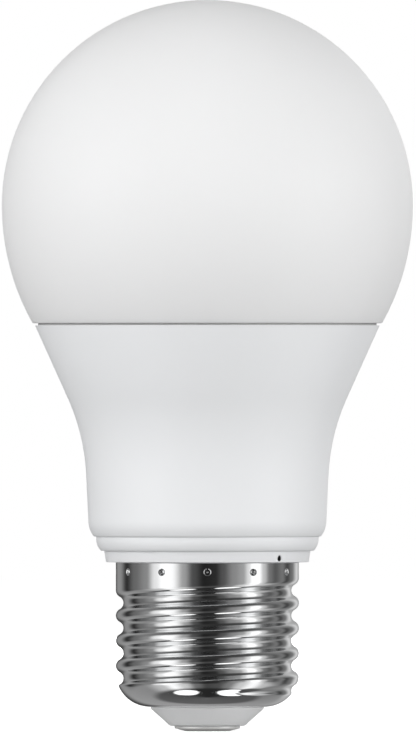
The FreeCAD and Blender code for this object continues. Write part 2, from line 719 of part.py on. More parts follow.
def build_light_source():
    layers = (
        ("thermal_pad", SINK_Z, "pad_thickness"),
        ("led_board", LED_FLOOR_Z, "led_board_thickness"),
    )
    for label, bottom, thickness in layers:
        layer = new_body("Layer")
        disc = sketch_on(layer, "XY_Plane", bottom)
        draw_circle(disc, 0, 0, board_r())
        extrude(layer, disc, "Pad", thickness)
        passages(layer, f"{bottom} - 0.5")
        screw_holes(layer, f"{bottom} - 0.5", "screw_r + hole_play")
        keep(layer, label)

    ring = f"({board_r()} - led_inset)"
    step = 360 / mm("led_count")
    package = ("led_length", "led_width", "led_thickness")
    emitters = (
        ("warm_leds", "led_count / 2", ring, step / 2, package),
        ("cool_leds", "led_count / 2", ring, step * 1.5, package),
        ("colour_leds", "4", "colour_led_ring_r", 0,
         ("colour_led_side", "colour_led_side", "colour_led_thickness")),
    )
    for label, count, radius, start, (length, width, thickness) in emitters:
        body = new_body("Emitters")
        case = sketch_on(body, "XY_Plane", LED_Z)
        draw_outline(case, rectangle(f"{radius} - {length} / 2", f"{radius} + {length} / 2",
                                     f"-{width} / 2", f"{width} / 2"))
        first = extrude(body, case, "Pad", thickness)
        pattern = repeat_round(body, first, count)
        pattern.recompute()
        cup = sketch_on(body, "XY_Plane", f"{LED_Z} + {thickness}")
        draw_circle(cup, radius, 0, "lens_r")
        dish = extrude(body, cup, "Pocket", "led_thickness / 4")
        repeat_round(body, dish, count)
        body.Placement = FreeCAD.Placement(V(), FreeCAD.Rotation(V(0, 0, 1), start))
        keep(body, label)

    screws = []
    for angle in SCREW_ANGLES:
        x = f"screw_ring_r * cos({angle})"
        y = f"screw_ring_r * sin({angle})"
        shank = rod(x, y, f"{LED_Z} - screw_length", "screw_r", "screw_length + 0.1")
        head = rod(x, y, LED_Z, "screw_head_r", "screw_head_thickness")
        slot_half = "(screw_head_r * 0.6)"
        slot_low = f"({LED_Z} + screw_head_thickness / 2)"
        slot_top = f"({LED_Z} + screw_head_thickness + 1)"
        cross = joined([
            block((f"{x} - {slot_half}", f"{y} - sheet", slot_low),
                  (f"{x} + {slot_half}", f"{y} + sheet", slot_top)),
            block((f"{x} - sheet", f"{y} - {slot_half}", slot_low),
                  (f"{x} + sheet", f"{y} + {slot_half}", slot_top)),
        ])
        screws.append(less(joined([shank, head]), cross))
    keep(group(screws), "board_screws")

    # socket on the light-source board, over the header's pins
    reach = f"({(PIN_COUNT + 0.4) / 2} * pin_pitch)"
    half_depth = "(pin / 2 + sink_sheet * 0.7)"
    housing = block((f"-{reach}", f"-pin_reach - {half_depth}", LED_Z),
                    (reach, f"-pin_reach + {half_depth}", f"{LED_Z} + socket_height"))
    ways = []
    half = "(pin / 2 + fit_play)"
    for x in pin_positions():
        ways.append(block((f"{x} - {half}", f"-pin_reach - {half}", f"{LED_Z} - 1"),
                          (f"{x} + {half}", f"-pin_reach + {half}",
                           f"{LED_Z} + socket_height * 0.8")))
    keep(less(housing, group(ways)), "board_socket")


# ---------------------------------------------------------------- driver board and its parts

HOLES = []


def lead(x, z, radius="lead_r"):
    """A straight lead through the driver board, and its hole in the board."""
    HOLES.append((x, z, f"({radius} + hole_play)"))
    return rod(x, f"-({FACE} + standoff + lead_r)", z, radius,
               "board_thickness + standoff + lead_r + lead_tail", BACKWARD, "Lead")


# A part's place on the stem is measured from the board's lower edge, and in the wide
# area from its shoulders.

def on_stem(rise):
    return f"({BOARD_BOTTOM_Z} + {rise})"


def on_head(rise):
    return f"({SHOULDER_Z} + {rise})"


def can(x, z):
    """An electrolytic capacitor: can, crimp above the rubber bung, two leads."""
    front = f"-({FACE} + standoff)"
    gap = "(can_foot / 2)"
    pieces = [
        rod(x, front, z, "can_r", "can_foot", FORWARD),
        rod(x, front, z, "can_r - can_crimp", "can_length", FORWARD),
        rod(x, f"{front} - can_foot - {gap}", z, "can_r", f"can_length - can_foot - {gap}", FORWARD),
    ]
    pieces += [lead(f"({x} + {side} * can_pitch / 2)", z) for side in (-1, 1)]
    return joined(pieces)


def drum(x, z, radius, length, pitch):
    """A drum core inductor with its winding between two flanges, and two leads."""
    front = f"-({FACE} + standoff)"
    flange = "drum_flange"
    core = [
        rod(x, front, z, radius, flange, FORWARD),
        rod(x, front, z, f"{radius} / 2", length, FORWARD),
        rod(x, f"{front} - {length} + {flange}", z, radius, flange, FORWARD),
    ]
    core += [lead(f"({x} + {side} * {pitch} / 2)", z) for side in (-1, 1)]
    outside = rod(x, f"{front} - {flange}", z, f"{radius} - {flange} * 0.4",
                  f"{length} - 2 * {flange}", FORWARD)
    inside = rod(x, front, z, f"{radius} / 2", length, FORWARD)
    return joined(core), less(outside, inside)


def small_outline(x, z, width, height, thickness, legs, pitch):
    """A surface-mounted package on the board's rear, with bent legs at both sides."""
    half_w = f"({width} / 2)"
    half_h = f"({height} / 2)"
    rear = FACE
    body = [block((f"{x} - {half_w}", f"{rear} + leg_thickness / 2", f"{z} - {half_h}"),
                  (f"{x} + {half_w}", f"{rear} + {thickness}", f"{z} + {half_h}"))]
    for number in range(legs):
        leg_x = f"({x} + ({number - (legs - 1) / 2}) * {pitch})"
        for side in (-1, 1):
            edge = f"({z} + {side} * {half_h})"
            knee = f"({edge} + {side} * leg_step)"
            toe = f"({edge} + {side} * 2 * leg_step)"
            low = f"({leg_x} - leg_width / 2)"
            high = f"({leg_x} + leg_width / 2)"
            shelf = f"({rear} + {thickness} / 2)"
            inner = f"({knee} - {side} * leg_thickness)"
            for start, stop, bottom, top in (
                (edge, knee, shelf, f"{shelf} + leg_thickness"),
                (inner, knee, rear, f"{shelf} + leg_thickness"),
                (inner, toe, rear, f"{rear} + leg_thickness"),
            ):
                z_low, z_high = ordered(start, stop, side)
                body.append(block((low, bottom, z_low), (high, top, z_high)))
    return joined(body)


def chips(places, width, height, thickness):
    """Chip resistors or capacitors on the board's rear."""
    top = f"{FACE} + {thickness}"
    pieces = []
    for x, z in places:
        pieces.append(block((f"{x} - {width} / 2", FACE, f"{z} - {height} / 2"),
                            (f"{x} + {width} / 2", top, f"{z} + {height} / 2")))
    return group(pieces)


def centred(middle, half, low, high, mid_z, half_z):
    """A box centred in X and Z, between two distances in front of the board's middle."""
    return block((f"{middle} - {half}", f"-({high})", f"{mid_z} - {half_z}"),
                 (f"{middle} + {half}", f"-({low})", f"{mid_z} + {half_z}"))


def build_transformer():
    """An EE core, a bobbin with two rails of pins, and one winding."""
    middle = "5.5"
    mid_z = on_head("15.45")
    front = f"({FACE} + standoff)"
    back = f"({front} + core_depth)"
    near = f"({front} + core_yoke)"
    far = f"({back} - core_yoke)"
    half_height = "(core_height / 2)"
    sleeve_height = f"({half_height} + bobbin_wall)"
    half_length = "bobbin_length / 2"
    window_low = "core_middle / 2"
    window_high = "(core_width / 2 - core_limb)"

    frame = centred(middle, "core_width / 2", front, back, mid_z, half_height)
    windows = []
    for side in (-1, 1):
        x_low, x_high = ordered(f"{middle} + {side} * {window_low}",
                                f"{middle} + {side} * {window_high}", side)
        windows.append(block((x_low, f"-{far}", f"{mid_z} - core_height"),
                             (x_high, f"-{near}", f"{mid_z} + core_height")))
    core = less(frame, group(windows))

    sleeve_half = f"({window_low} + bobbin_wall)"
    sleeve = centred(middle, sleeve_half, near, far, mid_z, sleeve_height)
    plate_half = f"({window_high} - bobbin_wall / 3)"
    plates = [
        centred(middle, plate_half, near, f"{near} + bobbin_wall", mid_z, half_length),
        centred(middle, plate_half, f"{far} - bobbin_wall", far, mid_z, half_length),
    ]
    rails = []
    for side in (-1, 1):
        z_low, z_high = ordered(f"{mid_z} + {side} * {sleeve_height}",
                                f"{mid_z} + {side} * rail_span / 2", side)
        rails.append(block((f"{middle} - rail_length / 2", f"-({near} + bobbin_wall)", z_low),
                           (f"{middle} + rail_length / 2", f"-{front}", z_high)))
    pin_rise = f"({sleeve_height} + rail_span / 2) / 2"
    pins = [
        lead(f"({middle} + {number - 1.5} * 2.5)", f"({mid_z} + {side} * {pin_rise})")
        for side in (-1, 1)
        for number in range(4)
    ]
    keep(core, "transformer_core")
    keep(less(joined([sleeve] + plates + rails + pins), core), "transformer_bobbin")
    coil = centred(middle, f"({plate_half} - lead_r)", f"{near} + bobbin_wall",
                   f"{far} - bobbin_wall", mid_z, f"({half_length} - bobbin_wall)")
    room = centred(middle, sleeve_half, near, far, mid_z, sleeve_height)
    keep(less(coil, room), "transformer_winding")


def build_power_parts():
    """Parts with leads on the front of the driver board.  The large ones keep their
    distance from the board's edges."""
    keep(can(f"-({BOARD_X} - 9.8)", on_head("5.75")), "input_capacitor")
    keep(can(f"-({BOARD_X} - 7.3)", on_head("17.15")), "output_capacitor")
    core, winding = drum(f"({BOARD_X} - 6.3)", on_head("5.75"), "storage_drum_r",
                         "storage_drum_length", "storage_drum_pitch")
    keep(core, "storage_inductor_core")
    keep(winding, "storage_inductor_winding")
    core, winding = drum("3.6", on_stem("8"), "filter_drum_r", "filter_drum_length",
                         "filter_drum_pitch")
    keep(core, "filter_inductor_core")
    keep(winding, "filter_inductor_winding")
    build_transformer()

    front = f"({FACE} + standoff)"
    film_z = on_stem("14")
    film = centred("0", "film_width / 2", front, f"{front} + film_depth", film_z,
                   "film_height / 2")
    film_leads = [lead(f"{side} * film_pitch / 2", film_z) for side in (-1, 1)]
    keep(joined([film] + film_leads), "film_capacitor")

    disc_x = "4"
    disc_z = on_stem("2.6")
    disc_y = f"-({front} + disc_r + standoff + hole_play)"
    stub_y = f"-({front} + disc_r / 2)"
    disc = rod(disc_x, disc_y, f"{disc_z} - disc_thickness / 2", "disc_r", "disc_thickness")
    legs = []
    for side in (-1, 1):
        leg_x = f"({disc_x} + {side} * disc_pitch / 2)"
        legs.append(rod(leg_x, stub_y, disc_z, "lead_r", "disc_r / 2", BACKWARD))
        legs.append(lead(leg_x, disc_z))
    keep(joined([disc] + legs), "varistor")

    fuse_x = "-4.5"
    fuse_y = f"-({front} + fuse_r + hole_play)"
    fuse_low = on_stem("1.2")
    fuse_high = f"({fuse_low} + fuse_span)"
    pieces = [
        rod(fuse_x, fuse_y, f"{fuse_low} + (fuse_span - fuse_length) / 2", "fuse_r", "fuse_length"),
        rod(fuse_x, fuse_y, fuse_low, "lead_r", "fuse_span"),
    ]
    for z in (fuse_low, fuse_high):
        pieces.append(lead(fuse_x, z))
        pieces.append(rod(fuse_x, fuse_y, z, "lead_r", "fuse_r + hole_play", BACKWARD))
        pieces.append(ball(fuse_x, fuse_y, z, "lead_r"))
    keep(joined(pieces), "fusible_resistor")


def ball(x, y, z, radius):
    sphere = doc.addObject("Part::Sphere", "Bend")
    sphere.setExpression("Radius", bound(radius))
    return place(sphere, x, y, z)


def build_rear_parts():
    """Flat parts on the rear of the driver board."""
    keep(small_outline("-1.2", on_stem("6.5"), "4.7", "3.9", "2.3", 2, "2.54"), "bridge_rectifier")
    keep(small_outline("-7.4", on_head("10.35"), "4.9", "3.9", "1.5", 4, "1.27"), "buck_controller")
    keep(small_outline("6.5", on_head("2.3"), "4.9", "3.9", "1.5", 4, "1.27"), "dimmer_driver")
    diodes = [
        small_outline(x, z, "2.6", "3.6", "2.0", 1, "1")
        for x, z in (("-7.4", on_head("3.0")), ("0", on_head("10.2")))
    ]
    keep(group(diodes), "rectifier_diodes")
    resistors = [
        ("-6.4", on_stem("6.5")), ("-6.4", on_stem("9")), ("6.6", on_stem("12.5")),
        ("-0.4", on_head("2.6")), ("10.6", on_head("13.4")), ("10.6", on_head("15.4")),
    ]
    keep(chips(resistors, "3.2", "1.6", "0.55"), "chip_resistors")
    capacitors = [
        ("6.8", on_stem("15.5")), ("1.4", on_head("5.0")), ("-10.4", on_head("14.5")),
        ("10.6", on_head("17.2")), ("-9.8", on_head("7.0")),
    ]
    keep(chips(capacitors, "2.0", "1.25", "0.9"), "chip_capacitors")


def build_header():
    """Right-angle header that carries power up to the light-source board."""
    pin_z = f"({BOARD_TOP_Z} - 1.6)"
    pins = []
    for x in pin_positions():
        low = f"({x} - pin / 2)"
        high = f"({x} + pin / 2)"
        tail = block((low, "-(pin_reach - pin / 2)", f"{pin_z} - pin / 2"),
                     (high, f"{FACE} + lead_tail", f"{pin_z} + pin / 2"))
        post = block((low, "-(pin_reach + pin / 2)", f"{pin_z} - pin / 2"),
                     (high, "-(pin_reach - pin / 2)", f"{LED_Z} + socket_height * 0.7"))
        pins.append(joined([tail, post]))
        HOLES.append((x, pin_z, "(pin * sqrt(0.5) + hole_play / 2)"))
    metal = group(pins)
    reach = f"({(PIN_COUNT + 0.2) / 2} * pin_pitch)"
    body = block((f"-{reach}", f"-(2 * pin_reach - {FACE})", f"{BOARD_TOP_Z} - 0.6"),
                 (reach, f"-{FACE}", f"{BOARD_TOP_Z} - 0.6 + header_height"))
    keep(less(body, metal), "header_body")
    keep(metal, "header_pins")


def build_driver_board():
    board = new_body("Board")
    outline = sketch_on(board, "XZ_Plane", f"-{FACE}")
    draw_outline(outline, [
        (f"-{STEM_X}", BOARD_BOTTOM_Z),
        (STEM_X, BOARD_BOTTOM_Z),
        (STEM_X, SHOULDER_Z),
        (BOARD_X, SHOULDER_Z),
        (BOARD_X, BOARD_TOP_Z),
        (f"-{BOARD_X}", BOARD_TOP_Z),
        (f"-{BOARD_X}", SHOULDER_Z),
        (f"-{STEM_X}", SHOULDER_Z),
    ])
    extrude(board, outline, "Pad", "board_thickness")
    holes = sketch_on(board, "XZ_Plane", FACE)
    for x, z, radius in HOLES:
        draw_circle(holes, x, z, radius)
    extrude(board, holes, "Pocket", "board_thickness")
    keep(board, "driver_board")


# ---------------------------------------------------------------- radio module

def build_radio():
    rear = MODULE_BACK_Y
    pitch = "2"
    row_z = f"({MODULE_Z} + 1.2)"
    pins = []
    holes = []
    for number in range(5):
        x = f"({number - 2} * {pitch})"
        half = "(pin * 0.4)"
        pins.append(block((f"{x} - {half}", f"-({FACE} + 0.25)", f"{row_z} - {half}"),
                          (f"{x} + {half}", f"{rear} + 0.6", f"{row_z} + {half}")))
        holes.append((x, row_z, f"({half} * sqrt(2) + hole_play)"))
    HOLES.extend(holes)
    metal = group(pins)
    spacer = block(("-5", FACE, f"{row_z} - 1"), ("5", MODULE_Y, f"{row_z} + 1"))
    keep(less(spacer, metal), "radio_header_body")
    keep(metal, "radio_header_pins")

    board = new_body("RadioBoard")
    outline = sketch_on(board, "XZ_Plane", f"-{rear}")
    half = "(module_width / 2)"
    draw_outline(outline, rectangle(f"-{half}", half, MODULE_Z, MODULE_TOP_Z))
    extrude(board, outline, "Pad", "module_thickness")
    drilled = sketch_on(board, "XZ_Plane", f"-{MODULE_Y}")
    for x, z, radius in holes:
        draw_circle(drilled, x, z, radius)
    extrude(board, drilled, "Pocket", "module_thickness")
    keep(board, "radio_board")

    chip_z = f"({MODULE_Z} + 6)"
    keep(block(("-2.5", rear, f"{chip_z} - 2.5"), ("2.5", f"{rear} + 0.9", f"{chip_z} + 2.5")),
         "radio_chip")
    keep(block(("-6", rear, f"{chip_z} - 1.25"), ("-4", f"{rear} + 0.7", f"{chip_z} + 1.25")),
         "radio_crystal")
    places = [("4.6", f"({chip_z} + {rise})") for rise in ("-1.5", "0", "1.5")]
    top = f"{rear} + 0.5"
    small = [
        block((f"{x} - 0.8", rear, f"{z} - 0.4"), (f"{x} + 0.8", top, f"{z} + 0.4"))
        for x, z in places
    ]
    keep(group(small), "radio_capacitors")

    # printed antenna: one track that runs back and forth near the board's upper edge
    antenna = new_body("Antenna")
    track = sketch_on(antenna, "XZ_Plane", f"-({rear} + 0.1)")
    draw_outline(track, antenna_outline())
    extrude(antenna, track, "Pad", "0.1")
    keep(antenna, "radio_antenna")


ANTENNA_TURNS = 4


def antenna_outline():
    """Outline of a meander: up one side of the track and back down the other."""
    width = 0.6
    pitch = 1.4
    reach = 5.4
    forth = [(-reach, -width)]
    back = [(-reach + width, -width)]
    for turn in range(ANTENNA_TURNS):
        rise = turn * pitch
        even = turn % 2 == 0
        if even:
            forth += [(-reach, rise + width), (reach - width, rise + width)]
            back += [(-reach + width, rise), (reach, rise)]
        else:
            forth += [(reach - width, rise), (-reach, rise)]
            back += [(reach, rise + width), (-reach + width, rise + width)]
    last = (ANTENNA_TURNS - 1) * pitch
    corners = forth + list(reversed(back))
    base = f"({MODULE_TOP_Z} - 1 - {last + width})"
    return [(x, f"{base} + {z}") for x, z in corners]


# ---------------------------------------------------------------- wires

def wire(label, corners, radius):
    """A round wire along straight runs joined by tangent arcs, as large as the runs allow."""
    points = [V(*[mm(value) for value in corner]) for corner in corners]
    reach = 0.45
    edges = []
    start = points[0]
    for before, corner, after in zip(points, points[1:], points[2:]):
        inward = (before - corner).normalize()
        outward = (after - corner).normalize()
        run = reach * min((before - corner).Length, (after - corner).Length)
        entry = corner + inward * run
        leave = corner + outward * run
        turn = pi - inward.getAngle(outward)
        bend = run / tan(turn / 2)
        bisector = (inward + outward).normalize()
        centre = corner + bisector * (bend / cos(turn / 2))
        edges.append(Part.LineSegment(start, entry).toShape())
        edges.append(Part.Arc(entry, centre - bisector * bend, leave).toShape())
        start = leave
    edges.append(Part.LineSegment(start, points[-1]).toShape())
    path = Part.Wire(edges)
    section = Part.Wire(Part.makeCircle(mm(radius), points[0], points[1] - points[0]))
    solid = path.makePipeShell([section], True, False)
    expected = pi * mm(radius)**2 * path.Length
    print(f"{label}: volume {solid.Volume:.2f}, section times length {expected:.2f}")
    piece = doc.addObject("Part::Feature", "Wire")
    piece.Shape = solid
    piece.Placement = FreeCAD.Placement()
    return keep(piece, label)


def build_wires():
    live_x = "1.0"
    live_z = on_stem("3.4")
    near = f"-({FACE} + live_r + hole_play)"
    HOLES.append((live_x, live_z, "(live_r + hole_play)"))
    wire("live_lead", [
        (live_x, f"{FACE} + lead_tail", live_z),
        (live_x, f"{near} - 1.2", live_z),
        (live_x, f"{near} - 1.4", f"{BOARD_BOTTOM_Z} + 0.6"),
        (0, 0, "neck_bottom_z"),
        (0, 0, "insulator_top_z - 3"),
    ], "live_r")
    neutral_x = f"-({BORE_R} - 3.0)"
    neutral_z = on_stem("3")
    channel_z = "((neck_bottom_z + insulator_top_z) / 2)"
    channel_x = f"-({BORE_R} + neck_wall - neutral_r + 0.12)"
    HOLES.append((neutral_x, neutral_z, "(neutral_r + hole_play)"))
    wire("neutral_lead", [
        (neutral_x, f"-({FACE} + standoff)", neutral_z),
        (neutral_x, f"{FACE} + 1.3", neutral_z),
        (neutral_x, f"{FACE} + 1.3", f"{BOARD_BOTTOM_Z} - 0.6"),
        (f"{neutral_x} - 1.0", 0.6, channel_z),
        (channel_x, 0, channel_z),
        (channel_x, 0, f"{channel_z} + neutral_groove - 1"),
    ], "neutral_r")


# ---------------------------------------------------------------- build, check and write

def main():
    build_cap()
    build_housing()
    build_globe()
    build_heat_sink()
    build_light_source()
    build_power_parts()
    build_header()
    build_radio()
    build_wires()
    build_rear_parts()
    build_driver_board()
    doc.recompute()
    for item in doc.Objects:
        if "Invalid" in item.State or "Error" in item.State:
            raise RuntimeError(f"{item.Name} ({item.Label}) did not build: {item.State}")
    for node in NODES:
        if node.Shape.isNull() or not node.Shape.isValid():
            raise RuntimeError(f"{node.Label} has no valid shape")
    os.makedirs("parts", exist_ok=True)
    for node in NODES:
        node.Shape.exportStep(f"parts/{node.Label}.step")
        box = node.Shape.BoundBox
        print(f"{node.Label}: {len(node.Shape.Solids)} solid, {node.Shape.Volume:.1f} mm3, "
              f"x {box.XMin:.2f} {box.XMax:.2f}, y {box.YMin:.2f} {box.YMax:.2f}, "
              f"z {box.ZMin:.2f} {box.ZMax:.2f}")


main()
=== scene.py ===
# %% [markdown]
# # A smart light bulb
#
# The bulb has an opal globe, a white stepped housing and a threaded metal cap with a
# light grey insulator and a centre contact. Inside it sit a heat sink, a light-source
# board, a driver board and a radio board. The CAD model gives every part its place.
# This lesson gives the outside parts a smooth, finely rounded mesh, and every part a
# finish. Lengths are written in millimetres and turned into metres when a mesh is made.

from math import asin, atan2, cos, hypot, pi, radians, sin, sqrt

import bmesh
import bpy
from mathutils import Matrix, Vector


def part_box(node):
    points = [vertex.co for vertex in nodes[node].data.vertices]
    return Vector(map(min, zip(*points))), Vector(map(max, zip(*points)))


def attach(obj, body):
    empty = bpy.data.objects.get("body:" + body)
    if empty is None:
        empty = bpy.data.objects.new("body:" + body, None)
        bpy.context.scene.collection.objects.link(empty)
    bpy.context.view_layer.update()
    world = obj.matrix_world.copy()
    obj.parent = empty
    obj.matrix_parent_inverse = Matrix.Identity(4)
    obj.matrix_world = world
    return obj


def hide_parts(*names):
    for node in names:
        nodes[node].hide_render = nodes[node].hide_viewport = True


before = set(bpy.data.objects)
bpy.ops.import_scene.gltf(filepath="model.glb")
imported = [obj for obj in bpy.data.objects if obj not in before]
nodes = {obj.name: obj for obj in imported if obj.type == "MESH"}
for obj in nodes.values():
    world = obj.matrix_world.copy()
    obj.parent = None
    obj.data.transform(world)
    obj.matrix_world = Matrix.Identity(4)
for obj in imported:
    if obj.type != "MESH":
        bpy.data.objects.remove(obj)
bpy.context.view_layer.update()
MM = 0.001


# %% [markdown]
# ## The outline of a turned part
#
# Every outside part is round about the Z axis, so its shape is one outline, turned. An
# outline could be a list of many points, but a few corners joined by straight stretches
# and true arcs say the same and stay exact at any fineness. A straight stretch is an
# extruded vertex, and an arc is that vertex spun about the arc's centre.

# %% Draw an outline with extrude and spin
ARC_STEP = radians(3)


def arc_centre(start, end, radius, side):
    """Centre of the short arc from start to end; side 1 has it on the left."""
    chord = end - start
    left = Vector((-chord.z, 0, chord.x)).normalized()
    rise = sqrt(radius**2 - chord.length_squared / 4)
    return (start + end) / 2 + left * side * rise


def trace(mesh, corners, closed=False):
    """Draw an outline in the XZ plane. A corner is (r, z), or (r, z, radius, side) when
    the stretch that leads to it is an arc."""
    tip = mesh.verts.new((corners[0][0] * MM, 0, corners[0][1] * MM))
    first = tip
    for corner in corners[1:]:
        end = Vector((corner[0] * MM, 0, corner[1] * MM))
        if len(corner) == 4:
            centre = arc_centre(tip.co, end, corner[2] * MM, corner[3])
            angle = 2 * asin((end - tip.co).length / 2 / (corner[2] * MM))
            steps = max(2, round(angle / ARC_STEP))
            turned = bmesh.ops.spin(mesh, geom=[tip], cent=centre, axis=(0, -corner[3], 0),
                                    angle=angle, steps=steps, use_merge=False)
            tip = next(item for item in turned["geom_last"] if isinstance(item, bmesh.types.BMVert))
            tip.co = end
        else:
            grown = bmesh.ops.extrude_vert_indiv(mesh, verts=[tip])
            tip = grown["verts"][0]
            tip.co = end
    if closed:
        mesh.edges.new((tip, first))


# %% Turn an outline into a skin, and soften its edges
def turn(mesh, segments):
    """Spin the outline into a closed skin about the Z axis, with its poles merged."""
    outline = mesh.verts[:] + mesh.edges[:]
    bmesh.ops.spin(mesh, geom=outline, cent=(0, 0, 0), axis=(0, 0, 1), angle=2 * pi,
                   steps=segments, use_merge=True)
    bmesh.ops.remove_doubles(mesh, verts=mesh.verts[:], dist=0.002 * MM)
    bmesh.ops.recalc_face_normals(mesh, faces=mesh.faces[:])


def soften(mesh, width, sharper_than=14):
    """Round every edge that is sharper than an angle, as moulding and pressing do."""
    limit = radians(sharper_than)
    sharp = [edge for edge in mesh.edges if len(edge.link_faces) == 2
             and edge.calc_face_angle() > limit]
    bmesh.ops.bevel(mesh, geom=sharp, offset=width * MM, offset_type="OFFSET",
                    affect="EDGES", segments=3, profile=0.5, material=-1)


# %% Put a finished mesh in the scene, in place of a CAD part
def finish_piece(mesh, name, node, material):
    """Turn a bmesh into an object that rides on the bulb and replaces a CAD node."""
    data = bpy.data.meshes.new(name)
    mesh.to_mesh(data)
    mesh.free()
    data.polygons.foreach_set("use_smooth", [True] * len(data.polygons))
    piece = bpy.data.objects.new(name, data)
    bpy.context.scene.collection.objects.link(piece)
    data.materials.append(material)
    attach(piece, "root")
    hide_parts(node)
    triangles = sum(len(face.vertices) - 2 for face in data.polygons)
    print(f"{name}: {triangles} triangles")
    return piece


# %% [markdown]
# ## A shader group for moulded and pressed surfaces
#
# No real surface is one flat colour. A moulding has faint clouds in its tone and a very
# fine grain, and metal sheet has both as well. A noise texture at two scales gives them.
# The group is built once and each material feeds it its own scales and strengths.

# %% Helpers that place nodes
def new_group(name, inputs, outputs):
    """A shader node group with named sockets: (name, type, default) in, (name, type) out."""
    group = bpy.data.node_groups.new(name, "ShaderNodeTree")
    for label, kind, default in inputs:
        socket = group.interface.new_socket(label, in_out="INPUT", socket_type=kind)
        socket.default_value = default
    for label, kind in outputs:
        group.interface.new_socket(label, in_out="OUTPUT", socket_type=kind)
    return group, group.nodes.new("NodeGroupInput"), group.nodes.new("NodeGroupOutput")


def math_node(tree, operation, first, second=None):
    """A Math node fed by sockets or numbers; returns its output."""
    node = tree.nodes.new("ShaderNodeMath")
    node.operation = operation
    for socket, value in zip(node.inputs, (first, second)):
        if value is None:
            continue
        if isinstance(value, bpy.types.NodeSocket):
            tree.links.new(value, socket)
        else:
            socket.default_value = value
    return node.outputs[0]


def mixed(tree, mask, first, second):
    """Mix two colours by a mask; each is a socket or a colour. Returns the result."""
    mix = tree.nodes.new("ShaderNodeMix")
    mix.data_type = "RGBA"
    tree.links.new(mask, mix.inputs["Factor"])
    for socket, value in ((mix.inputs["A"], first), (mix.inputs["B"], second)):
        if isinstance(value, bpy.types.NodeSocket):
            tree.links.new(value, socket)
        else:
            socket.default_value = (*value, 1)
    return mix.outputs["Result"]


# %% Build the group that varies a surface
def build_surface_group():
    """Clouds of tone, clouds of gloss and a fine grain, from position on the part."""
    group, entry, leave = new_group(
        "surface_variation",
        [("Vector", "NodeSocketVector", (0, 0, 0)),
         ("Dark", "NodeSocketColor", (0.8, 0.8, 0.8, 1)),
         ("Light", "NodeSocketColor", (0.9, 0.9, 0.9, 1)),
         ("Cloud Scale", "NodeSocketFloat", 60.0),
         ("Grain Scale", "NodeSocketFloat", 4000.0),
         ("Smoothest", "NodeSocketFloat", 0.3),
         ("Roughest", "NodeSocketFloat", 0.5)],
        [("Color", "NodeSocketColor"), ("Roughness", "NodeSocketFloat"),
         ("Height", "NodeSocketFloat")])
    clouds = group.nodes.new("ShaderNodeTexNoise")
    clouds.inputs["Detail"].default_value = 4
    group.links.new(entry.outputs["Vector"], clouds.inputs["Vector"])
    group.links.new(entry.outputs["Cloud Scale"], clouds.inputs["Scale"])
    grain = group.nodes.new("ShaderNodeTexNoise")
    grain.inputs["Detail"].default_value = 2
    group.links.new(entry.outputs["Vector"], grain.inputs["Vector"])
    group.links.new(entry.outputs["Grain Scale"], grain.inputs["Scale"])
    tone = mixed(group, clouds.outputs["Fac"], entry.outputs["Dark"], entry.outputs["Light"])
    group.links.new(tone, leave.inputs["Color"])
    span = math_node(group, "SUBTRACT", entry.outputs["Roughest"], entry.outputs["Smoothest"])
    share = math_node(group, "MULTIPLY", span, clouds.outputs["Fac"])
    rough = math_node(group, "ADD", share, entry.outputs["Smoothest"])
    group.links.new(rough, leave.inputs["Roughness"])
    group.links.new(grain.outputs["Fac"], leave.inputs["Height"])
    return group


SURFACE = build_surface_group()
print("surface group inputs:", [item.name for item in SURFACE.interface.items_tree
                                if item.in_out == "INPUT"])


# %% A material fed by the group
def surface_material(name, dark, light, roughness, cloud_scale=60.0, grain_scale=4000.0,
                     grain=0.02, metallic=0.0, coat=0.0, subsurface=0.0):
    """A Principled material whose colour, roughness and grain come from the group."""
    material = bpy.data.materials.new(name)
    material.use_nodes = True
    tree = material.node_tree
    shader = tree.nodes["Principled BSDF"]
    place = tree.nodes.new("ShaderNodeTexCoord")
    vary = tree.nodes.new("ShaderNodeGroup")
    vary.node_tree = SURFACE
    tree.links.new(place.outputs["Object"], vary.inputs["Vector"])
    vary.inputs["Dark"].default_value = (*dark, 1)
    vary.inputs["Light"].default_value = (*light, 1)
    vary.inputs["Cloud Scale"].default_value = cloud_scale
    vary.inputs["Grain Scale"].default_value = grain_scale
    vary.inputs["Smoothest"].default_value = roughness[0]
    vary.inputs["Roughest"].default_value = roughness[1]
    tree.links.new(vary.outputs["Color"], shader.inputs["Base Color"])
    tree.links.new(vary.outputs["Roughness"], shader.inputs["Roughness"])
    bump = tree.nodes.new("ShaderNodeBump")
    bump.inputs["Strength"].default_value = grain
    bump.inputs["Distance"].default_value = 0.05 * MM
    tree.links.new(vary.outputs["Height"], bump.inputs["Height"])
    tree.links.new(bump.outputs["Normal"], shader.inputs["Normal"])
    shader.inputs["Metallic"].default_value = metallic
    shader.inputs["Coat Weight"].default_value = coat
    shader.inputs["Coat Roughness"].default_value = 0.15
    shader.inputs["Subsurface Weight"].default_value = subsurface
    shader.inputs["Subsurface Radius"].default_value = (1.0, 1.0, 1.0)
    shader.inputs["Subsurface Scale"].default_value = 1.0 * MM
    print("finish made:", name)
    return material


# %% [markdown]
# ## The globe
#
# The globe is blown or moulded from opal plastic, round above and a little fuller below,
# and it ends in a spigot that snaps into the housing. A sphere and a cylinder joined
# together would leave a crease, so the outline uses two arcs that share a tangent at the
# widest place. The skin is closed: it goes down outside, round the spigot and up inside.

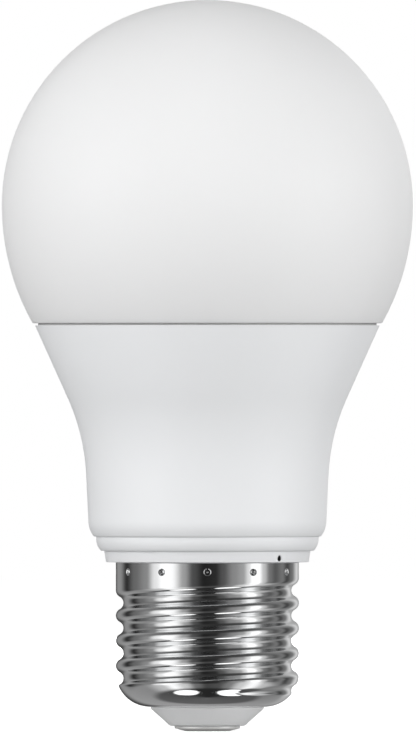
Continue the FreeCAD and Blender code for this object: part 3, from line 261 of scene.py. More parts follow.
# %% Levels that the parts share
globe_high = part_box("diffuser_globe")[1]
housing_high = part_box("outer_housing")[1]
GLOBE_R = globe_high[0] / MM
TOP_Z = globe_high[2] / MM
RIM_Z = housing_high[2] / MM
WIDEST_Z = TOP_Z - GLOBE_R
SEAL = 0.3
SEAM_Z = RIM_Z + SEAL
BELLY_R = 34.7
GLOBE_WALL = 1.2
SEAM_R = GLOBE_R - BELLY_R + sqrt(BELLY_R**2 - (WIDEST_Z - SEAM_Z)**2)
RIM_R = housing_high[0] / MM
RIM_LEDGE = 1.7976
SOCKET_R = RIM_R - RIM_LEDGE
SPIGOT_GAP = 0.15
SPIGOT_R = SOCKET_R - SPIGOT_GAP
SPIGOT_WALL = 1.1
SPIGOT_FOOT_Z = SEAM_Z - 2.3
FINE_TURN = 192
print(f"globe radius {GLOBE_R:.2f}, widest at {WIDEST_Z:.2f}, seam {SEAM_R:.2f} at {SEAM_Z:.2f}")

# %% Opal plastic, slightly translucent and almost matte
opal = surface_material("opal_plastic", (0.855, 0.857, 0.86), (0.875, 0.877, 0.88),
                        roughness=(0.42, 0.5), cloud_scale=45.0, grain=0.015, subsurface=0.15)

# %% Turn the globe
globe = bmesh.new()
inner_r = GLOBE_R - GLOBE_WALL
inner_belly = BELLY_R - GLOBE_WALL
foot_z = SEAM_Z + 1.5
foot_r = GLOBE_R - BELLY_R + sqrt(inner_belly**2 - (WIDEST_Z - foot_z)**2)
trace(globe, [
    (0, TOP_Z),
    (GLOBE_R, WIDEST_Z, GLOBE_R, -1),
    (SEAM_R, SEAM_Z, BELLY_R, -1),
    (SPIGOT_R, SEAM_Z),
    (SPIGOT_R, SPIGOT_FOOT_Z),
    (SPIGOT_R - SPIGOT_WALL, SPIGOT_FOOT_Z),
    (SPIGOT_R - SPIGOT_WALL, SEAM_Z + GLOBE_WALL),
    (foot_r, foot_z),
    (inner_r, WIDEST_Z, inner_belly, 1),
    (0, WIDEST_Z + inner_r, inner_r, 1),
])
turn(globe, FINE_TURN)
soften(globe, 0.16)
finish_piece(globe, "globe", "diffuser_globe", opal)

# %% [markdown]
# ## The housing
#
# The housing is one moulding: a cone under the globe, a concave waist, an almost straight
# grip, a rounded shoulder and two thin steps down to the cap. Its thin edges decide how
# real it looks, because light catches their small rounds. The outline has sharp corners,
# and a bevel on the turned skin rounds them all at once.

# %% Satin white plastic
housing_white = surface_material("housing_plastic", (0.84, 0.85, 0.865), (0.865, 0.875, 0.885),
                                 roughness=(0.33, 0.42), cloud_scale=70.0, grain=0.02,
                                 subsurface=0.05)

# %% Levels and radii of the housing
CAP_R = 13.225
CAP_TOP_Z = 24.4
COLLAR_Z = 26.05
RING_Z = 28.1
GRIP_Z = 30.45
WAIST_Z = 36.8
CONE_Z = 47.8
WALL = 1.6
LEDGE_Z = RIM_Z - 2.15
NECK_FOOT_Z = 8.0
NECK_R = 11.6
BORE_R = 10.4
BORE_TOP_Z = 25.8
COLLAR_FLARE = 0.25
RING_FLARE = 0.65
WAIST_ROUND = 30.3
collar_r = CAP_R + 1.425
ring_r = collar_r + COLLAR_FLARE + 0.5
skirt_r = ring_r + RING_FLARE + 0.35
grip_r = skirt_r + 0.8
waist_r = grip_r + 0.3
cone_r = waist_r + 2.54
ledge_r = cone_r + (LEDGE_Z - CONE_Z) * (RIM_R - cone_r) / (RIM_Z - CONE_Z)
print(f"housing radii: collar {collar_r:.2f}, grip {grip_r:.2f}, cone {cone_r:.2f}, rim {RIM_R:.2f}")

# %% Turn the housing, with its wall and its neck
housing = bmesh.new()
trace(housing, [
    (NECK_R, NECK_FOOT_Z),
    (NECK_R, CAP_TOP_Z),
    (collar_r, CAP_TOP_Z),
    (collar_r + COLLAR_FLARE, COLLAR_Z),
    (ring_r, COLLAR_Z),
    (ring_r + RING_FLARE, RING_Z, 2.6, 1),
    (skirt_r, RING_Z),
    (grip_r, GRIP_Z, 3.85, 1),
    (waist_r, WAIST_Z),
    (cone_r, CONE_Z, WAIST_ROUND, -1),
    (RIM_R, RIM_Z),
    (SOCKET_R, RIM_Z),
    (SOCKET_R, LEDGE_Z),
    (ledge_r - WALL, LEDGE_Z),
    (cone_r - WALL, CONE_Z),
    (waist_r - WALL, WAIST_Z, WAIST_ROUND, 1),
    (grip_r - WALL, GRIP_Z),
    (grip_r - WALL - 0.6, GRIP_Z),
    (BORE_R, BORE_TOP_Z),
    (BORE_R, NECK_FOOT_Z),
], closed=True)
turn(housing, FINE_TURN)
soften(housing, 0.1, sharper_than=16)

# %% [markdown]
# ## The pressure vent
#
# A pinhole in the collar lets the air in the housing breathe as the bulb warms. It could be
# cut with a boolean, which leaves long thin faces round a hole this small. So the mesh is
# divided again and again round one point, and the points near it are pushed in, as a pin
# presses clay. The skin stays closed, and the lip of the hole gets a small round.

# %% Press small round pits into a skin
def press_pits(mesh, centres, radius, depth, passes, steepness, spare):
    """Divide the mesh finely round each centre, then push a small round pit in there."""
    for step in range(passes):
        reach = (1.4 * radius + spare * 0.5**step) * MM
        near = set()
        for centre in centres:
            for edge in mesh.edges:
                middle = (edge.verts[0].co + edge.verts[1].co) / 2
                if (middle - centre).length < reach:
                    near.add(edge)
        bmesh.ops.subdivide_edges(mesh, edges=list(near), cuts=1, use_grid_fill=True)
    for centre in centres:
        for vert in mesh.verts:
            away = (vert.co - centre).length / (radius * MM)
            if away < 1:
                push = depth * MM * (1 - away**steepness)
                vert.co -= Vector((vert.co.x, vert.co.y, 0)).normalized() * push
    bmesh.ops.recalc_face_normals(mesh, faces=mesh.faces[:])


# %% Press the vent, to the right of the front
VENT_R = 0.32
VENT_LIP = 0.1
VENT_Z = 25.0
VENT_DEPTH = 4.0
vent_side = (collar_r + COLLAR_FLARE * (VENT_Z - CAP_TOP_Z) / (COLLAR_Z - CAP_TOP_Z)) * sqrt(0.5)
vent = Vector((vent_side, -vent_side, VENT_Z)) * MM
press_pits(housing, [vent], VENT_R + VENT_LIP, VENT_DEPTH, passes=4, steepness=10, spare=0.6)
finish_piece(housing, "housing", "outer_housing", housing_white)

# %% [markdown]
# ## The ring in the seam
#
# A thin ring of grey silicone lies between the globe and the housing and shows as a fine
# line. A dark stripe in the material could stand in for it, but a real ring set back a
# little also gives the seam its shadow. Its section is a plain rectangle, turned.

# %% Turn the silicone ring
silicone = surface_material("grey_silicone", (0.5, 0.5, 0.5), (0.56, 0.56, 0.56),
                            roughness=(0.6, 0.8), grain=0.05)
SEAL_INSET = 0.45
seal = bmesh.new()
seal_in = SOCKET_R + SPIGOT_GAP
seal_out = RIM_R - SEAL_INSET
trace(seal, [(seal_in, RIM_Z), (seal_out, RIM_Z), (seal_out, SEAM_Z), (seal_in, SEAM_Z)],
      closed=True)
turn(seal, FINE_TURN)
finish_piece(seal, "seam_ring", "globe_seal", silicone)

# %% [markdown]
# ## The screw shell
#
# The shell is thin plated sheet, rolled into a round thread between a plain band and a
# domed bottom. A screw modifier would make an endless thread, but here the groove has to
# fade into the band at its top and into the dome at its foot. So the plain shell is
# turned first, finely divided, and each point is then pushed in as far as the groove
# reaches at its height and angle.

# %% The thread's groove as a formula
PITCH = 3.629
THREAD_ROUND = 1.025
THREAD_TOP_Z = 20.3
THREAD_LAND = 0.2
RUNOUT = 0.4
THREAD_DEPTH = 2 * THREAD_ROUND - sqrt(4 * THREAD_ROUND**2 - PITCH**2 / 4)


def groove_r(off, raised=0.0):
    """Radius of the thread's surface at a height off the groove's middle, in mm."""
    off = abs(off)
    if off < PITCH / 4:
        return CAP_R - THREAD_DEPTH + THREAD_ROUND - sqrt(THREAD_ROUND**2 - off**2) + raised
    if off < (PITCH - THREAD_LAND) / 2:
        return CAP_R - THREAD_ROUND + sqrt(THREAD_ROUND**2 - (PITCH / 2 - off)**2) + raised
    return CAP_R


def thread_r(angle, height):
    """Radius of the threaded shell at an angle (0 to 1 turn) and a height."""
    top = THREAD_TOP_Z - PITCH * (1 - angle)
    nearest = max(0, round((top - height) / PITCH))
    radius = groove_r(height - (top - nearest * PITCH))
    if angle < RUNOUT:
        fading = THREAD_DEPTH * angle / RUNOUT
        radius = min(radius, groove_r(height - (THREAD_TOP_Z + PITCH * angle), fading))
    return min(radius, CAP_R)


print(f"thread depth {THREAD_DEPTH:.3f} mm at a pitch of {PITCH} mm")

# %% Turn the plain shell and press the thread into it
DOME_R = 4.9
SHELL_Z = 3.5
MOUTH_R = 8.2
SHEET = 0.3
shell = bmesh.new()
trace(shell, [
    (MOUTH_R, SHELL_Z),
    (CAP_R - DOME_R, SHELL_Z),
    (CAP_R, SHELL_Z + DOME_R, DOME_R, 1),
    (CAP_R, CAP_TOP_Z),
])
long_edges = [edge for edge in shell.edges if edge.calc_length() > 5 * MM]
bmesh.ops.subdivide_edges(shell, edges=long_edges, cuts=115)
turn(shell, 240)
for vert in shell.verts:
    angle = (atan2(vert.co.y, vert.co.x) / (2 * pi)) % 1.0
    here = hypot(vert.co.x, vert.co.y) / MM
    wanted = min(here, thread_r(angle, vert.co.z / MM))
    vert.co.x *= wanted / here
    vert.co.y *= wanted / here
print("shell points:", len(shell.verts))

# %% [markdown]
# ## The stakes
#
# A ring of small pits in the band locks the shell to the neck. They could be a bump in
# the material, but a pit is a real dent that catches light on its lip. The mesh is
# divided once more around each stake, and the points near its middle are pushed in.

# %% Press twelve stakes into the band
STAKE_COUNT = 12
STAKE_Z = 23.0
STAKE_R = 0.52
STAKE_DEPTH = 0.45


def stake_centre(number):
    """Middle of one stake, on the band's surface."""
    angle = 2 * pi * number / STAKE_COUNT
    return Vector((CAP_R * cos(angle), CAP_R * sin(angle), STAKE_Z)) * MM


stakes = [stake_centre(number) for number in range(STAKE_COUNT)]
press_pits(shell, stakes, STAKE_R, STAKE_DEPTH, passes=2, steepness=1.4, spare=0.1)
print(f"{len(stakes)} stakes, {STAKE_DEPTH} mm deep; shell points now {len(shell.verts)}")

# %% Bright nickel plate
nickel = surface_material("nickel_plate", (0.79, 0.795, 0.8), (0.85, 0.855, 0.86),
                          roughness=(0.05, 0.1), cloud_scale=250.0, grain_scale=1500.0,
                          grain=0.03, metallic=1.0)
shell_piece = finish_piece(shell, "threaded_shell", "screw_shell", nickel)

# %% Give the sheet its thickness
wall = shell_piece.modifiers.new("sheet", "SOLIDIFY")
wall.thickness = SHEET * MM
wall.offset = -1
wall.use_even_offset = True
print(f"sheet thickness {SHEET} mm, laid inwards")

# %% [markdown]
# ## The insulator and the contact
#
# The insulator is a pale moulded cone that grips the shell's mouth, and the contact is a
# small plated disc with a hollow shank. Both are turned, with soft rims.

# %% Turn the insulator
insulator_grey = surface_material("insulator_plastic", (0.93, 0.935, 0.94), (0.95, 0.955, 0.96),
                                  roughness=(0.3, 0.4), cloud_scale=150.0, grain=0.02)
FLOOR_Z = SHELL_Z + SHEET
FOOT_Z = 0.75
PLUG_TOP_Z = 6.6
SHANK_HOLE_R = 1.55
PLUG_R = 11.5
insulator = bmesh.new()
trace(insulator, [
    (SHANK_HOLE_R, FOOT_Z),
    (5.2, FOOT_Z),
    (5.8, 1.1, 0.7, 1),
    (MOUTH_R - 0.05, 3.2),
    (MOUTH_R - 0.05, FLOOR_Z),
    (MOUTH_R + 0.1, FLOOR_Z),
    (PLUG_R, 5.4),
    (PLUG_R, PLUG_TOP_Z),
    (SHANK_HOLE_R, PLUG_TOP_Z),
], closed=True)
turn(insulator, 128)
soften(insulator, 0.08)
finish_piece(insulator, "insulator", "cap_insulator", insulator_grey)

# %% Turn the contact
contact_metal = surface_material("contact_metal", (0.86, 0.86, 0.85), (0.95, 0.95, 0.94),
                                 roughness=(0.35, 0.5), cloud_scale=400.0, grain_scale=2500.0,
                                 grain=0.08, metallic=0.4)
CONTACT_R = 4.75
FACE_R = 3.2
SHANK_R = 1.5
SHANK_BORE_R = 0.9
LIP_R = 2.2
contact = bmesh.new()
trace(contact, [
    (0, 0),
    (FACE_R, 0),
    (CONTACT_R, FOOT_Z / 2),
    (CONTACT_R, FOOT_Z),
    (SHANK_R, FOOT_Z),
    (SHANK_R, PLUG_TOP_Z),
    (LIP_R, PLUG_TOP_Z),
    (LIP_R, PLUG_TOP_Z + SHEET),
    (SHANK_BORE_R, PLUG_TOP_Z + SHEET),
    (SHANK_BORE_R, FOOT_Z + SHEET),
    (0, FOOT_Z + SHEET),
])
turn(contact, 96)
soften(contact, 0.07)
finish_piece(contact, "contact", "centre_contact", contact_metal)

# %% [markdown]
# ## The parts inside
#
# The parts inside keep their CAD shapes and get their own finishes. Most are a moulding,
# a metal or a lacquer, which the shared group covers with different values.

# %% Finishes of the inner parts
INNER = {
    "aluminium": dict(dark=(0.62, 0.63, 0.64), light=(0.72, 0.73, 0.74), roughness=(0.3, 0.5),
                      metallic=1.0, grain=0.1, nodes=["heat_sink_cup"]),
    "thermal_silicone": dict(dark=(0.3, 0.34, 0.4), light=(0.36, 0.4, 0.46),
                             roughness=(0.6, 0.8), grain=0.1, nodes=["thermal_pad"]),
    "screw_steel": dict(dark=(0.5, 0.5, 0.51), light=(0.62, 0.62, 0.63), roughness=(0.25, 0.4),
                        metallic=1.0, nodes=["board_screws"]),
    "socket_plastic": dict(dark=(0.78, 0.77, 0.72), light=(0.83, 0.82, 0.78),
                           roughness=(0.4, 0.5), nodes=["board_socket"]),
    "ferrite": dict(dark=(0.035, 0.035, 0.037), light=(0.07, 0.07, 0.072), roughness=(0.5, 0.7),
                    grain=0.2, nodes=["storage_inductor_core", "filter_inductor_core",
                                      "transformer_core"]),
    "bobbin_plastic": dict(dark=(0.012, 0.012, 0.013), light=(0.025, 0.025, 0.026),
                           roughness=(0.4, 0.5), nodes=["transformer_bobbin"]),
    "film_case": dict(dark=(0.42, 0.06, 0.03), light=(0.5, 0.09, 0.045), roughness=(0.35, 0.5),
                      nodes=["film_capacitor"]),
    "varistor_epoxy": dict(dark=(0.015, 0.06, 0.3), light=(0.03, 0.09, 0.4),
                           roughness=(0.2, 0.35), coat=0.4, nodes=["varistor"]),
    "resistor_body": dict(dark=(0.2, 0.33, 0.26), light=(0.26, 0.4, 0.32), roughness=(0.4, 0.6),
                          grain=0.2, nodes=["fusible_resistor"]),
    "header_plastic": dict(dark=(0.01, 0.01, 0.01), light=(0.022, 0.022, 0.022),
                           roughness=(0.4, 0.5), nodes=["header_body", "radio_header_body"]),
    "pin_metal": dict(dark=(0.7, 0.52, 0.22), light=(0.8, 0.62, 0.3), roughness=(0.2, 0.35),
                      metallic=1.0, nodes=["header_pins", "radio_header_pins"]),
    "chip_resin": dict(dark=(0.012, 0.012, 0.012), light=(0.03, 0.03, 0.03),
                       roughness=(0.45, 0.6), grain=0.15,
                       nodes=["radio_chip", "bridge_rectifier", "buck_controller",
                              "dimmer_driver", "rectifier_diodes"]),
    "crystal_can": dict(dark=(0.55, 0.55, 0.54), light=(0.68, 0.68, 0.67), roughness=(0.2, 0.3),
                        metallic=1.0, nodes=["radio_crystal"]),
    "copper_track": dict(dark=(0.55, 0.28, 0.14), light=(0.65, 0.35, 0.18),
                         roughness=(0.3, 0.4), metallic=1.0, coat=0.5,
                         nodes=["radio_antenna"]),
    "live_insulation": dict(dark=(0.45, 0.02, 0.02), light=(0.55, 0.035, 0.03),
                            roughness=(0.35, 0.45), nodes=["live_lead"]),
    "neutral_insulation": dict(dark=(0.02, 0.03, 0.35), light=(0.03, 0.045, 0.45),
                               roughness=(0.35, 0.45), nodes=["neutral_lead"]),
}


def dress(node, material):
    """Give a CAD node its finish."""
    piece = nodes[node]
    data = piece.data
    if data.materials:
        for index in range(len(data.materials)):
            data.materials[index] = material
    else:
        data.materials.append(material)


for name, values in INNER.items():
    wearers = values.pop("nodes")
    inner_material = surface_material(name, **values)
    for node in wearers:
        dress(node, inner_material)
print("inner finishes:", len(INNER))

# %% [markdown]
# ## Boards, windings and light sources
#
# Some inner parts show a pattern: copper tracks under the lacquer of a board, turns of
# wire in a winding, a phosphor disc in each light source and a bright top on each
# capacitor's sleeve. Each is a mask made from the position on the part, which mixes two
# colours on top of the shared group. The vent in the housing uses a mask too, for painted shade.

# %% Helpers that lay a second colour or a relief over a material
def axis_of(tree, letter):
    """The X, Y or Z of the position on the part."""
    place = tree.nodes.new("ShaderNodeTexCoord")
    split = tree.nodes.new("ShaderNodeSeparateXYZ")
    tree.links.new(place.outputs["Object"], split.inputs[0])
    return split.outputs[letter.upper()]


def add_mask_colour(material, mask, colour):
    """Lay a second colour over the material where the mask is 1."""
    tree = material.node_tree
    shader = tree.nodes["Principled BSDF"]
    under = shader.inputs["Base Color"].links[0].from_socket
    tree.links.new(mixed(tree, mask, under, colour), shader.inputs["Base Color"])


def add_relief(material, height, depth):
    """Put a second bump, of a depth in mm, over the grain."""
    tree = material.node_tree
    shader = tree.nodes["Principled BSDF"]
    grain = shader.inputs["Normal"].links[0].from_node
    relief = tree.nodes.new("ShaderNodeBump")
    relief.inputs["Strength"].default_value = 0.6
    relief.inputs["Distance"].default_value = depth * MM
    tree.links.new(height, relief.inputs["Height"])
    tree.links.new(grain.outputs["Normal"], relief.inputs["Normal"])
    tree.links.new(relief.outputs["Normal"], shader.inputs["Normal"])


# %% [markdown]
# ## Painted shade in the vent
#
# The vent of a real bulb leads through the collar into the unlit neck, so it looks almost
# black. The pit in the mesh is white and only 4 mm deep, and light bounces to its end. A
# mask paints shade on its walls in a near-black colour: a thin cylinder along the vent's
# axis, from just under the collar's skin to just outside the bore.

# %% Paint shade on the vent's walls
SHADE_R = 0.55
COLLAR_SKIN = 0.1
BORE_SKIN = 0.3
tree = housing_white.node_tree
east, north, up = [axis_of(tree, letter) for letter in "xyz"]
along = math_node(tree, "MULTIPLY", math_node(tree, "SUBTRACT", east, north), sqrt(0.5))
aside = math_node(tree, "MULTIPLY", math_node(tree, "ADD", east, north), sqrt(0.5))
above = math_node(tree, "SUBTRACT", up, VENT_Z * MM)
off_axis = math_node(tree, "SQRT", math_node(
    tree, "ADD", math_node(tree, "MULTIPLY", aside, aside),
    math_node(tree, "MULTIPLY", above, above)))
near_axis = math_node(tree, "LESS_THAN", off_axis, SHADE_R * MM)
beneath = math_node(tree, "LESS_THAN", along, (collar_r - COLLAR_SKIN) * MM)
outside = math_node(tree, "GREATER_THAN", along, (BORE_R + BORE_SKIN) * MM)
vent_painted_shade = math_node(tree, "MULTIPLY", math_node(tree, "MULTIPLY", near_axis, beneath), outside)
# painted shade: a near-black colour on the vent's walls stands in for the shade of the unlit neck
add_mask_colour(housing_white, vent_painted_shade, (0.02, 0.02, 0.02))
print(f"dark from {collar_r - COLLAR_SKIN:.2f} in to {BORE_R + BORE_SKIN:.2f} mm from the axis")

# %% [markdown]
# ## The boards
#
# A board is resin under a thin lacquer, with copper tracks that show as a paler tone and
# stand up by a few hundredths of a millimetre. Real tracks would need a layout, so a brick
# pattern gives the same look of short straight runs, both as a colour and as a relief.

# %% Lacquered boards with faint tracks
def board_material(name, dark, light, track, spacing, across="x", up="z"):
    """Solder mask over copper: a brick pattern stands in for runs of track."""
    material = surface_material(name, dark, light, roughness=(0.25, 0.35), coat=0.3)
    tree = material.node_tree
    joint = tree.nodes.new("ShaderNodeCombineXYZ")
    tree.links.new(axis_of(tree, across), joint.inputs[0])
    tree.links.new(axis_of(tree, up), joint.inputs[1])
    bricks = tree.nodes.new("ShaderNodeTexBrick")
    bricks.inputs["Scale"].default_value = 1 / (spacing * MM)
    bricks.inputs["Mortar Size"].default_value = 0.06
    bricks.inputs["Brick Width"].default_value = 1.7
    bricks.inputs["Row Height"].default_value = 0.6
    tree.links.new(joint.outputs[0], bricks.inputs["Vector"])
    add_mask_colour(material, bricks.outputs["Fac"], track)
    add_relief(material, bricks.outputs["Fac"], 0.04)
    return material


dress("driver_board", board_material("driver_board_resin", (0.015, 0.12, 0.04),
                                     (0.02, 0.15, 0.055), (0.04, 0.22, 0.09), 3.0))
dress("radio_board", board_material("radio_board_resin", (0.008, 0.03, 0.12),
                                    (0.012, 0.04, 0.16), (0.03, 0.08, 0.25), 2.0))
dress("led_board", board_material("white_board", (0.78, 0.78, 0.75), (0.84, 0.84, 0.82),
                                  (0.7, 0.7, 0.68), 4.0, up="y"))

# %% [markdown]
# ## The windings
#
# A winding is many turns of lacquered copper wire, or of yellow tape, side by side. Hundreds
# of rings would cost many faces inside a closed bulb, so a sine wave along the winding's
# axis raises and lowers the surface once for each turn.

# %% Windings: fine turns of wire or of tape
def winding_material(name, dark, light, axis, turn_width, metallic, depth):
    """Stripes along one axis, as turns lie beside each other."""
    material = surface_material(name, dark, light, roughness=(0.25, 0.4), metallic=metallic,
                                coat=0.5)
    tree = material.node_tree
    turns = math_node(tree, "SINE", math_node(tree, "MULTIPLY", axis_of(tree, axis),
                                              2 * pi / (turn_width * MM)))
    add_relief(material, turns, depth)
    return material


copper = winding_material("copper_wire", (0.42, 0.16, 0.07), (0.55, 0.23, 0.1), "y", 0.3, 0.8, 0.1)
for node in ("storage_inductor_winding", "filter_inductor_winding"):
    dress(node, copper)
dress("transformer_winding", winding_material("winding_tape", (0.75, 0.42, 0.03),
                                              (0.85, 0.5, 0.05), "y", 1.6, 0.0, 0.03))

# %% [markdown]
# ## The capacitor sleeves
#
# A capacitor can wears a dark shrunk sleeve that leaves its end bare and carries a pale
# stripe on the side of its minus lead. Both are masks that compare the position with a
# limit taken from the part's own box, so they stay right if the part moves.

# %% Capacitor sleeves with a bare end and a stripe
BARE_END = 0.05
STRIPE = 1.2
for node in ("input_capacitor", "output_capacitor"):
    sleeve = surface_material(f"{node}_sleeve", (0.012, 0.014, 0.03), (0.02, 0.024, 0.045),
                              roughness=(0.25, 0.35), coat=0.3)
    tree = sleeve.node_tree
    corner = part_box(node)[0]
    bare = math_node(tree, "LESS_THAN", axis_of(tree, "y"), corner[1] + BARE_END * MM)
    add_mask_colour(sleeve, bare, (0.6, 0.61, 0.62))
    stripe = math_node(tree, "LESS_THAN", axis_of(tree, "x"), corner[0] + STRIPE * MM)
    add_mask_colour(sleeve, stripe, (0.45, 0.46, 0.48))
    dress(node, sleeve)

# %% [markdown]
# ## The light sources
#
# Each light source is a white package with a shallow dish, and the dish holds a coloured
# compound. The dish's floor is the one place that is both lower than the rim and facing up,
# so the product of those two masks finds it without any extra piece.

# %% Light sources: white package, phosphor in the dish
DISH_DEPTH = 0.175


def emitter_material(name, node, phosphor):
    """White moulding, with the phosphor's colour on the floor of each dish."""
    material = surface_material(name, (0.8, 0.8, 0.79), (0.86, 0.86, 0.85),
                                roughness=(0.3, 0.4))
    tree = material.node_tree
    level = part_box(node)[1][2] - DISH_DEPTH / 2 * MM
    low = math_node(tree, "LESS_THAN", axis_of(tree, "z"), level)
    facing = tree.nodes.new("ShaderNodeNewGeometry")
    split = tree.nodes.new("ShaderNodeSeparateXYZ")
    tree.links.new(facing.outputs["True Normal"], split.inputs[0])
    up = math_node(tree, "GREATER_THAN", split.outputs["Z"], 0.5)
    add_mask_colour(material, math_node(tree, "MULTIPLY", low, up), phosphor)
    return material


for name, node, phosphor in (("warm_phosphor", "warm_leds", (0.85, 0.42, 0.05)),
                             ("cool_phosphor", "cool_leds", (0.85, 0.75, 0.12)),
                             ("colour_emitters", "colour_leds", (0.3, 0.34, 0.36))):
    dress(node, emitter_material(name, node, phosphor))

# %% [markdown]
# ## The chip parts
#
# Chip resistors are black glaze, and chip capacitors are brown ceramic. At one or two
# millimetres long they need only a colour that varies a little from one to the next, which
# a finer cloud gives.

# %% Chip resistors and chip capacitors
PALER = 1.5
for name, body_colour, wearers in (
        ("resistor_chip", (0.015, 0.015, 0.017), ["chip_resistors"]),
        ("chip_ceramic", (0.38, 0.24, 0.13), ["chip_capacitors", "radio_capacitors"])):
    chip = surface_material(name, body_colour, tuple(PALER * part for part in body_colour),
                            roughness=(0.3, 0.45), cloud_scale=800.0)
    for node in wearers:
        dress(node, chip)

# %% [markdown]
# ## The camera
#
# A bulb in a catalogue is seen level, from the front and from far off, so that its widest
# place and its cap show without distortion. A near camera would look up at the globe and
# down on the cap. A camera 4.2 m away with a long lens draws the outline almost as
# truly as an orthographic one would.

# %% Camera, level with the bulb and far away
ASIDE = 0.09 * MM
LEVEL = 52.65 * MM
DISTANCE = 4.2
PICTURE_HEIGHT = 105.9 * MM
SENSOR = 36.0
camera_data = bpy.data.cameras.new("camera")
camera_data.sensor_fit = "VERTICAL"
camera_data.sensor_height = SENSOR
camera_data.sensor_width = 1.6 * SENSOR
camera_data.lens = SENSOR * DISTANCE / PICTURE_HEIGHT
camera_data.clip_end = 100
camera = bpy.data.objects.new("camera", camera_data)
camera.location = (ASIDE, -DISTANCE, LEVEL)
camera.rotation_euler = (radians(90), 0, 0)
bpy.context.scene.collection.objects.link(camera)
bpy.context.scene.camera = camera
print(f"lens {camera_data.lens:.0f} mm on a {SENSOR:.0f} mm sensor")

# %% [markdown]
# ## The floor
#
# The bulb stands on a white sheet. A floor painted white would throw strong light up under
# the globe, so the colour depends on the ray: the camera sees white, and the bulb is lit by
# a mid grey. Seen from below the sheet is clear, and the metal doesn't mirror it, because
# the drawn surround already holds a floor.

# %% Floor
FLOOR_GREY = (0.42, 0.42, 0.42)
WHITE = (1.0, 1.0, 1.0)
FLOOR_GLOW = 0.5
floor_mesh = bmesh.new()
bmesh.ops.create_circle(floor_mesh, cap_ends=True, radius=3.0, segments=64)
floor_data = bpy.data.meshes.new("floor")
floor_mesh.to_mesh(floor_data)
floor_mesh.free()
floor = bpy.data.objects.new("floor", floor_data)
bpy.context.scene.collection.objects.link(floor)
floor.location.z = -0.02 * MM
floor_material = bpy.data.materials.new("floor")
floor_material.use_nodes = True
floor_tree = floor_material.node_tree
floor_shader = floor_tree.nodes["Principled BSDF"]
floor_shader.inputs["Roughness"].default_value = 0.9
floor_shader.inputs["Specular IOR Level"].default_value = 0.0
floor_rays = floor_tree.nodes.new("ShaderNodeLightPath")
to_camera = floor_rays.outputs["Is Camera Ray"]
floor_tree.links.new(mixed(floor_tree, to_camera, FLOOR_GREY, WHITE),
                     floor_shader.inputs["Base Color"])
floor_shader.inputs["Emission Color"].default_value = (*WHITE, 1)
floor_tree.links.new(math_node(floor_tree, "MULTIPLY", to_camera, FLOOR_GLOW),
                     floor_shader.inputs["Emission Strength"])

# %% Make the floor clear from below
from_below = floor_tree.nodes.new("ShaderNodeNewGeometry")
clear_floor = floor_tree.nodes.new("ShaderNodeBsdfTransparent")
seen = floor_tree.nodes.new("ShaderNodeMixShader")
floor_tree.links.new(from_below.outputs["Backfacing"], seen.inputs["Fac"])
floor_tree.links.new(floor_shader.outputs[0], seen.inputs[1])
floor_tree.links.new(clear_floor.outputs[0], seen.inputs[2])
floor_tree.links.new(seen.outputs[0], floor_tree.nodes["Material Output"].inputs["Surface"])
floor_data.materials.append(floor_material)
print("floor finish made:", floor_material.name)
floor.visible_glossy = False
print("floor level in mm:", round(floor.location.z / MM, 3))

# %% [markdown]
# ## What the metal mirrors
#
# Polished metal has hardly any colour of its own: it shows the room. A real studio puts
# white panels and dark cards round such a cap, so that its bands stand out. They could be
# modelled as planes, but a drawn surround is easier to tune: four rings, for the views
# above, level, sloping down and low, each say how bright the surround is at a bearing, and
# two oval panels below make the pair of highlights on the cap's dome.

# %% Rings of light and dark round the bulb
# Each ring lists (degrees to the right of the camera, brightness as shown, 0 to 1).
LEVEL_RING = [
    (-180, 0.25), (-160, 0.5), (-152, 0.5), (-131, 0.17), (-112, 0.38), (-91, 0.5), (-77, 0.85),
    (-64, 1.0), (-54, 0.95), (-38, 0.58), (-26, 0.28), (-12, 0.12), (2, 0.15), (12, 0.3),
    (26, 0.5), (38, 0.58), (46, 0.82), (52, 1.0), (60, 1.0), (68, 0.72), (78, 0.42), (88, 0.32),
    (102, 0.42), (113, 0.25), (126, 0.4), (146, 0.75), (160, 0.6), (180, 0.25),
]
SLOPE_RING = [
    (-180, 0.55), (-110, 0.5), (-78, 0.7), (-60, 0.95), (-42, 0.75), (-24, 0.4), (-8, 0.25),
    (8, 0.28), (24, 0.45), (42, 0.75), (60, 0.95), (78, 0.7), (110, 0.45), (180, 0.55),
]
LOW_RING = [
    (-180, 0.35), (-120, 0.3), (-90, 0.28), (-60, 0.2), (-20, 0.13), (20, 0.13), (60, 0.2),
    (90, 0.3), (120, 0.3), (180, 0.35),
]
HIGH_RING = [
    (-180, 0.7), (-130, 0.5), (-70, 0.3), (-40, 0.25), (0, 0.12), (40, 0.25), (70, 0.3),
    (130, 0.5), (180, 0.7),
]


def shown_to_light(value):
    """The light that a screen shows as this brightness."""
    return ((value + 0.055) / 1.055) ** 2.4 if value > 0.04 else value / 12.92


def ring(tree, turn_socket, stops):
    """A colour ramp round the horizon."""
    ramp = tree.nodes.new("ShaderNodeValToRGB")
    ramp.color_ramp.interpolation = "B_SPLINE" if len(stops) < 12 else "EASE"
    marks = ramp.color_ramp.elements
    while len(marks) < len(stops):
        marks.new(0.5)
    for mark, (angle, value) in zip(marks, stops):
        mark.position = (angle + 180) / 360
        mark.color = (*[shown_to_light(value)] * 3, 1)
    tree.links.new(turn_socket, ramp.inputs["Fac"])
    return ramp.outputs["Color"]


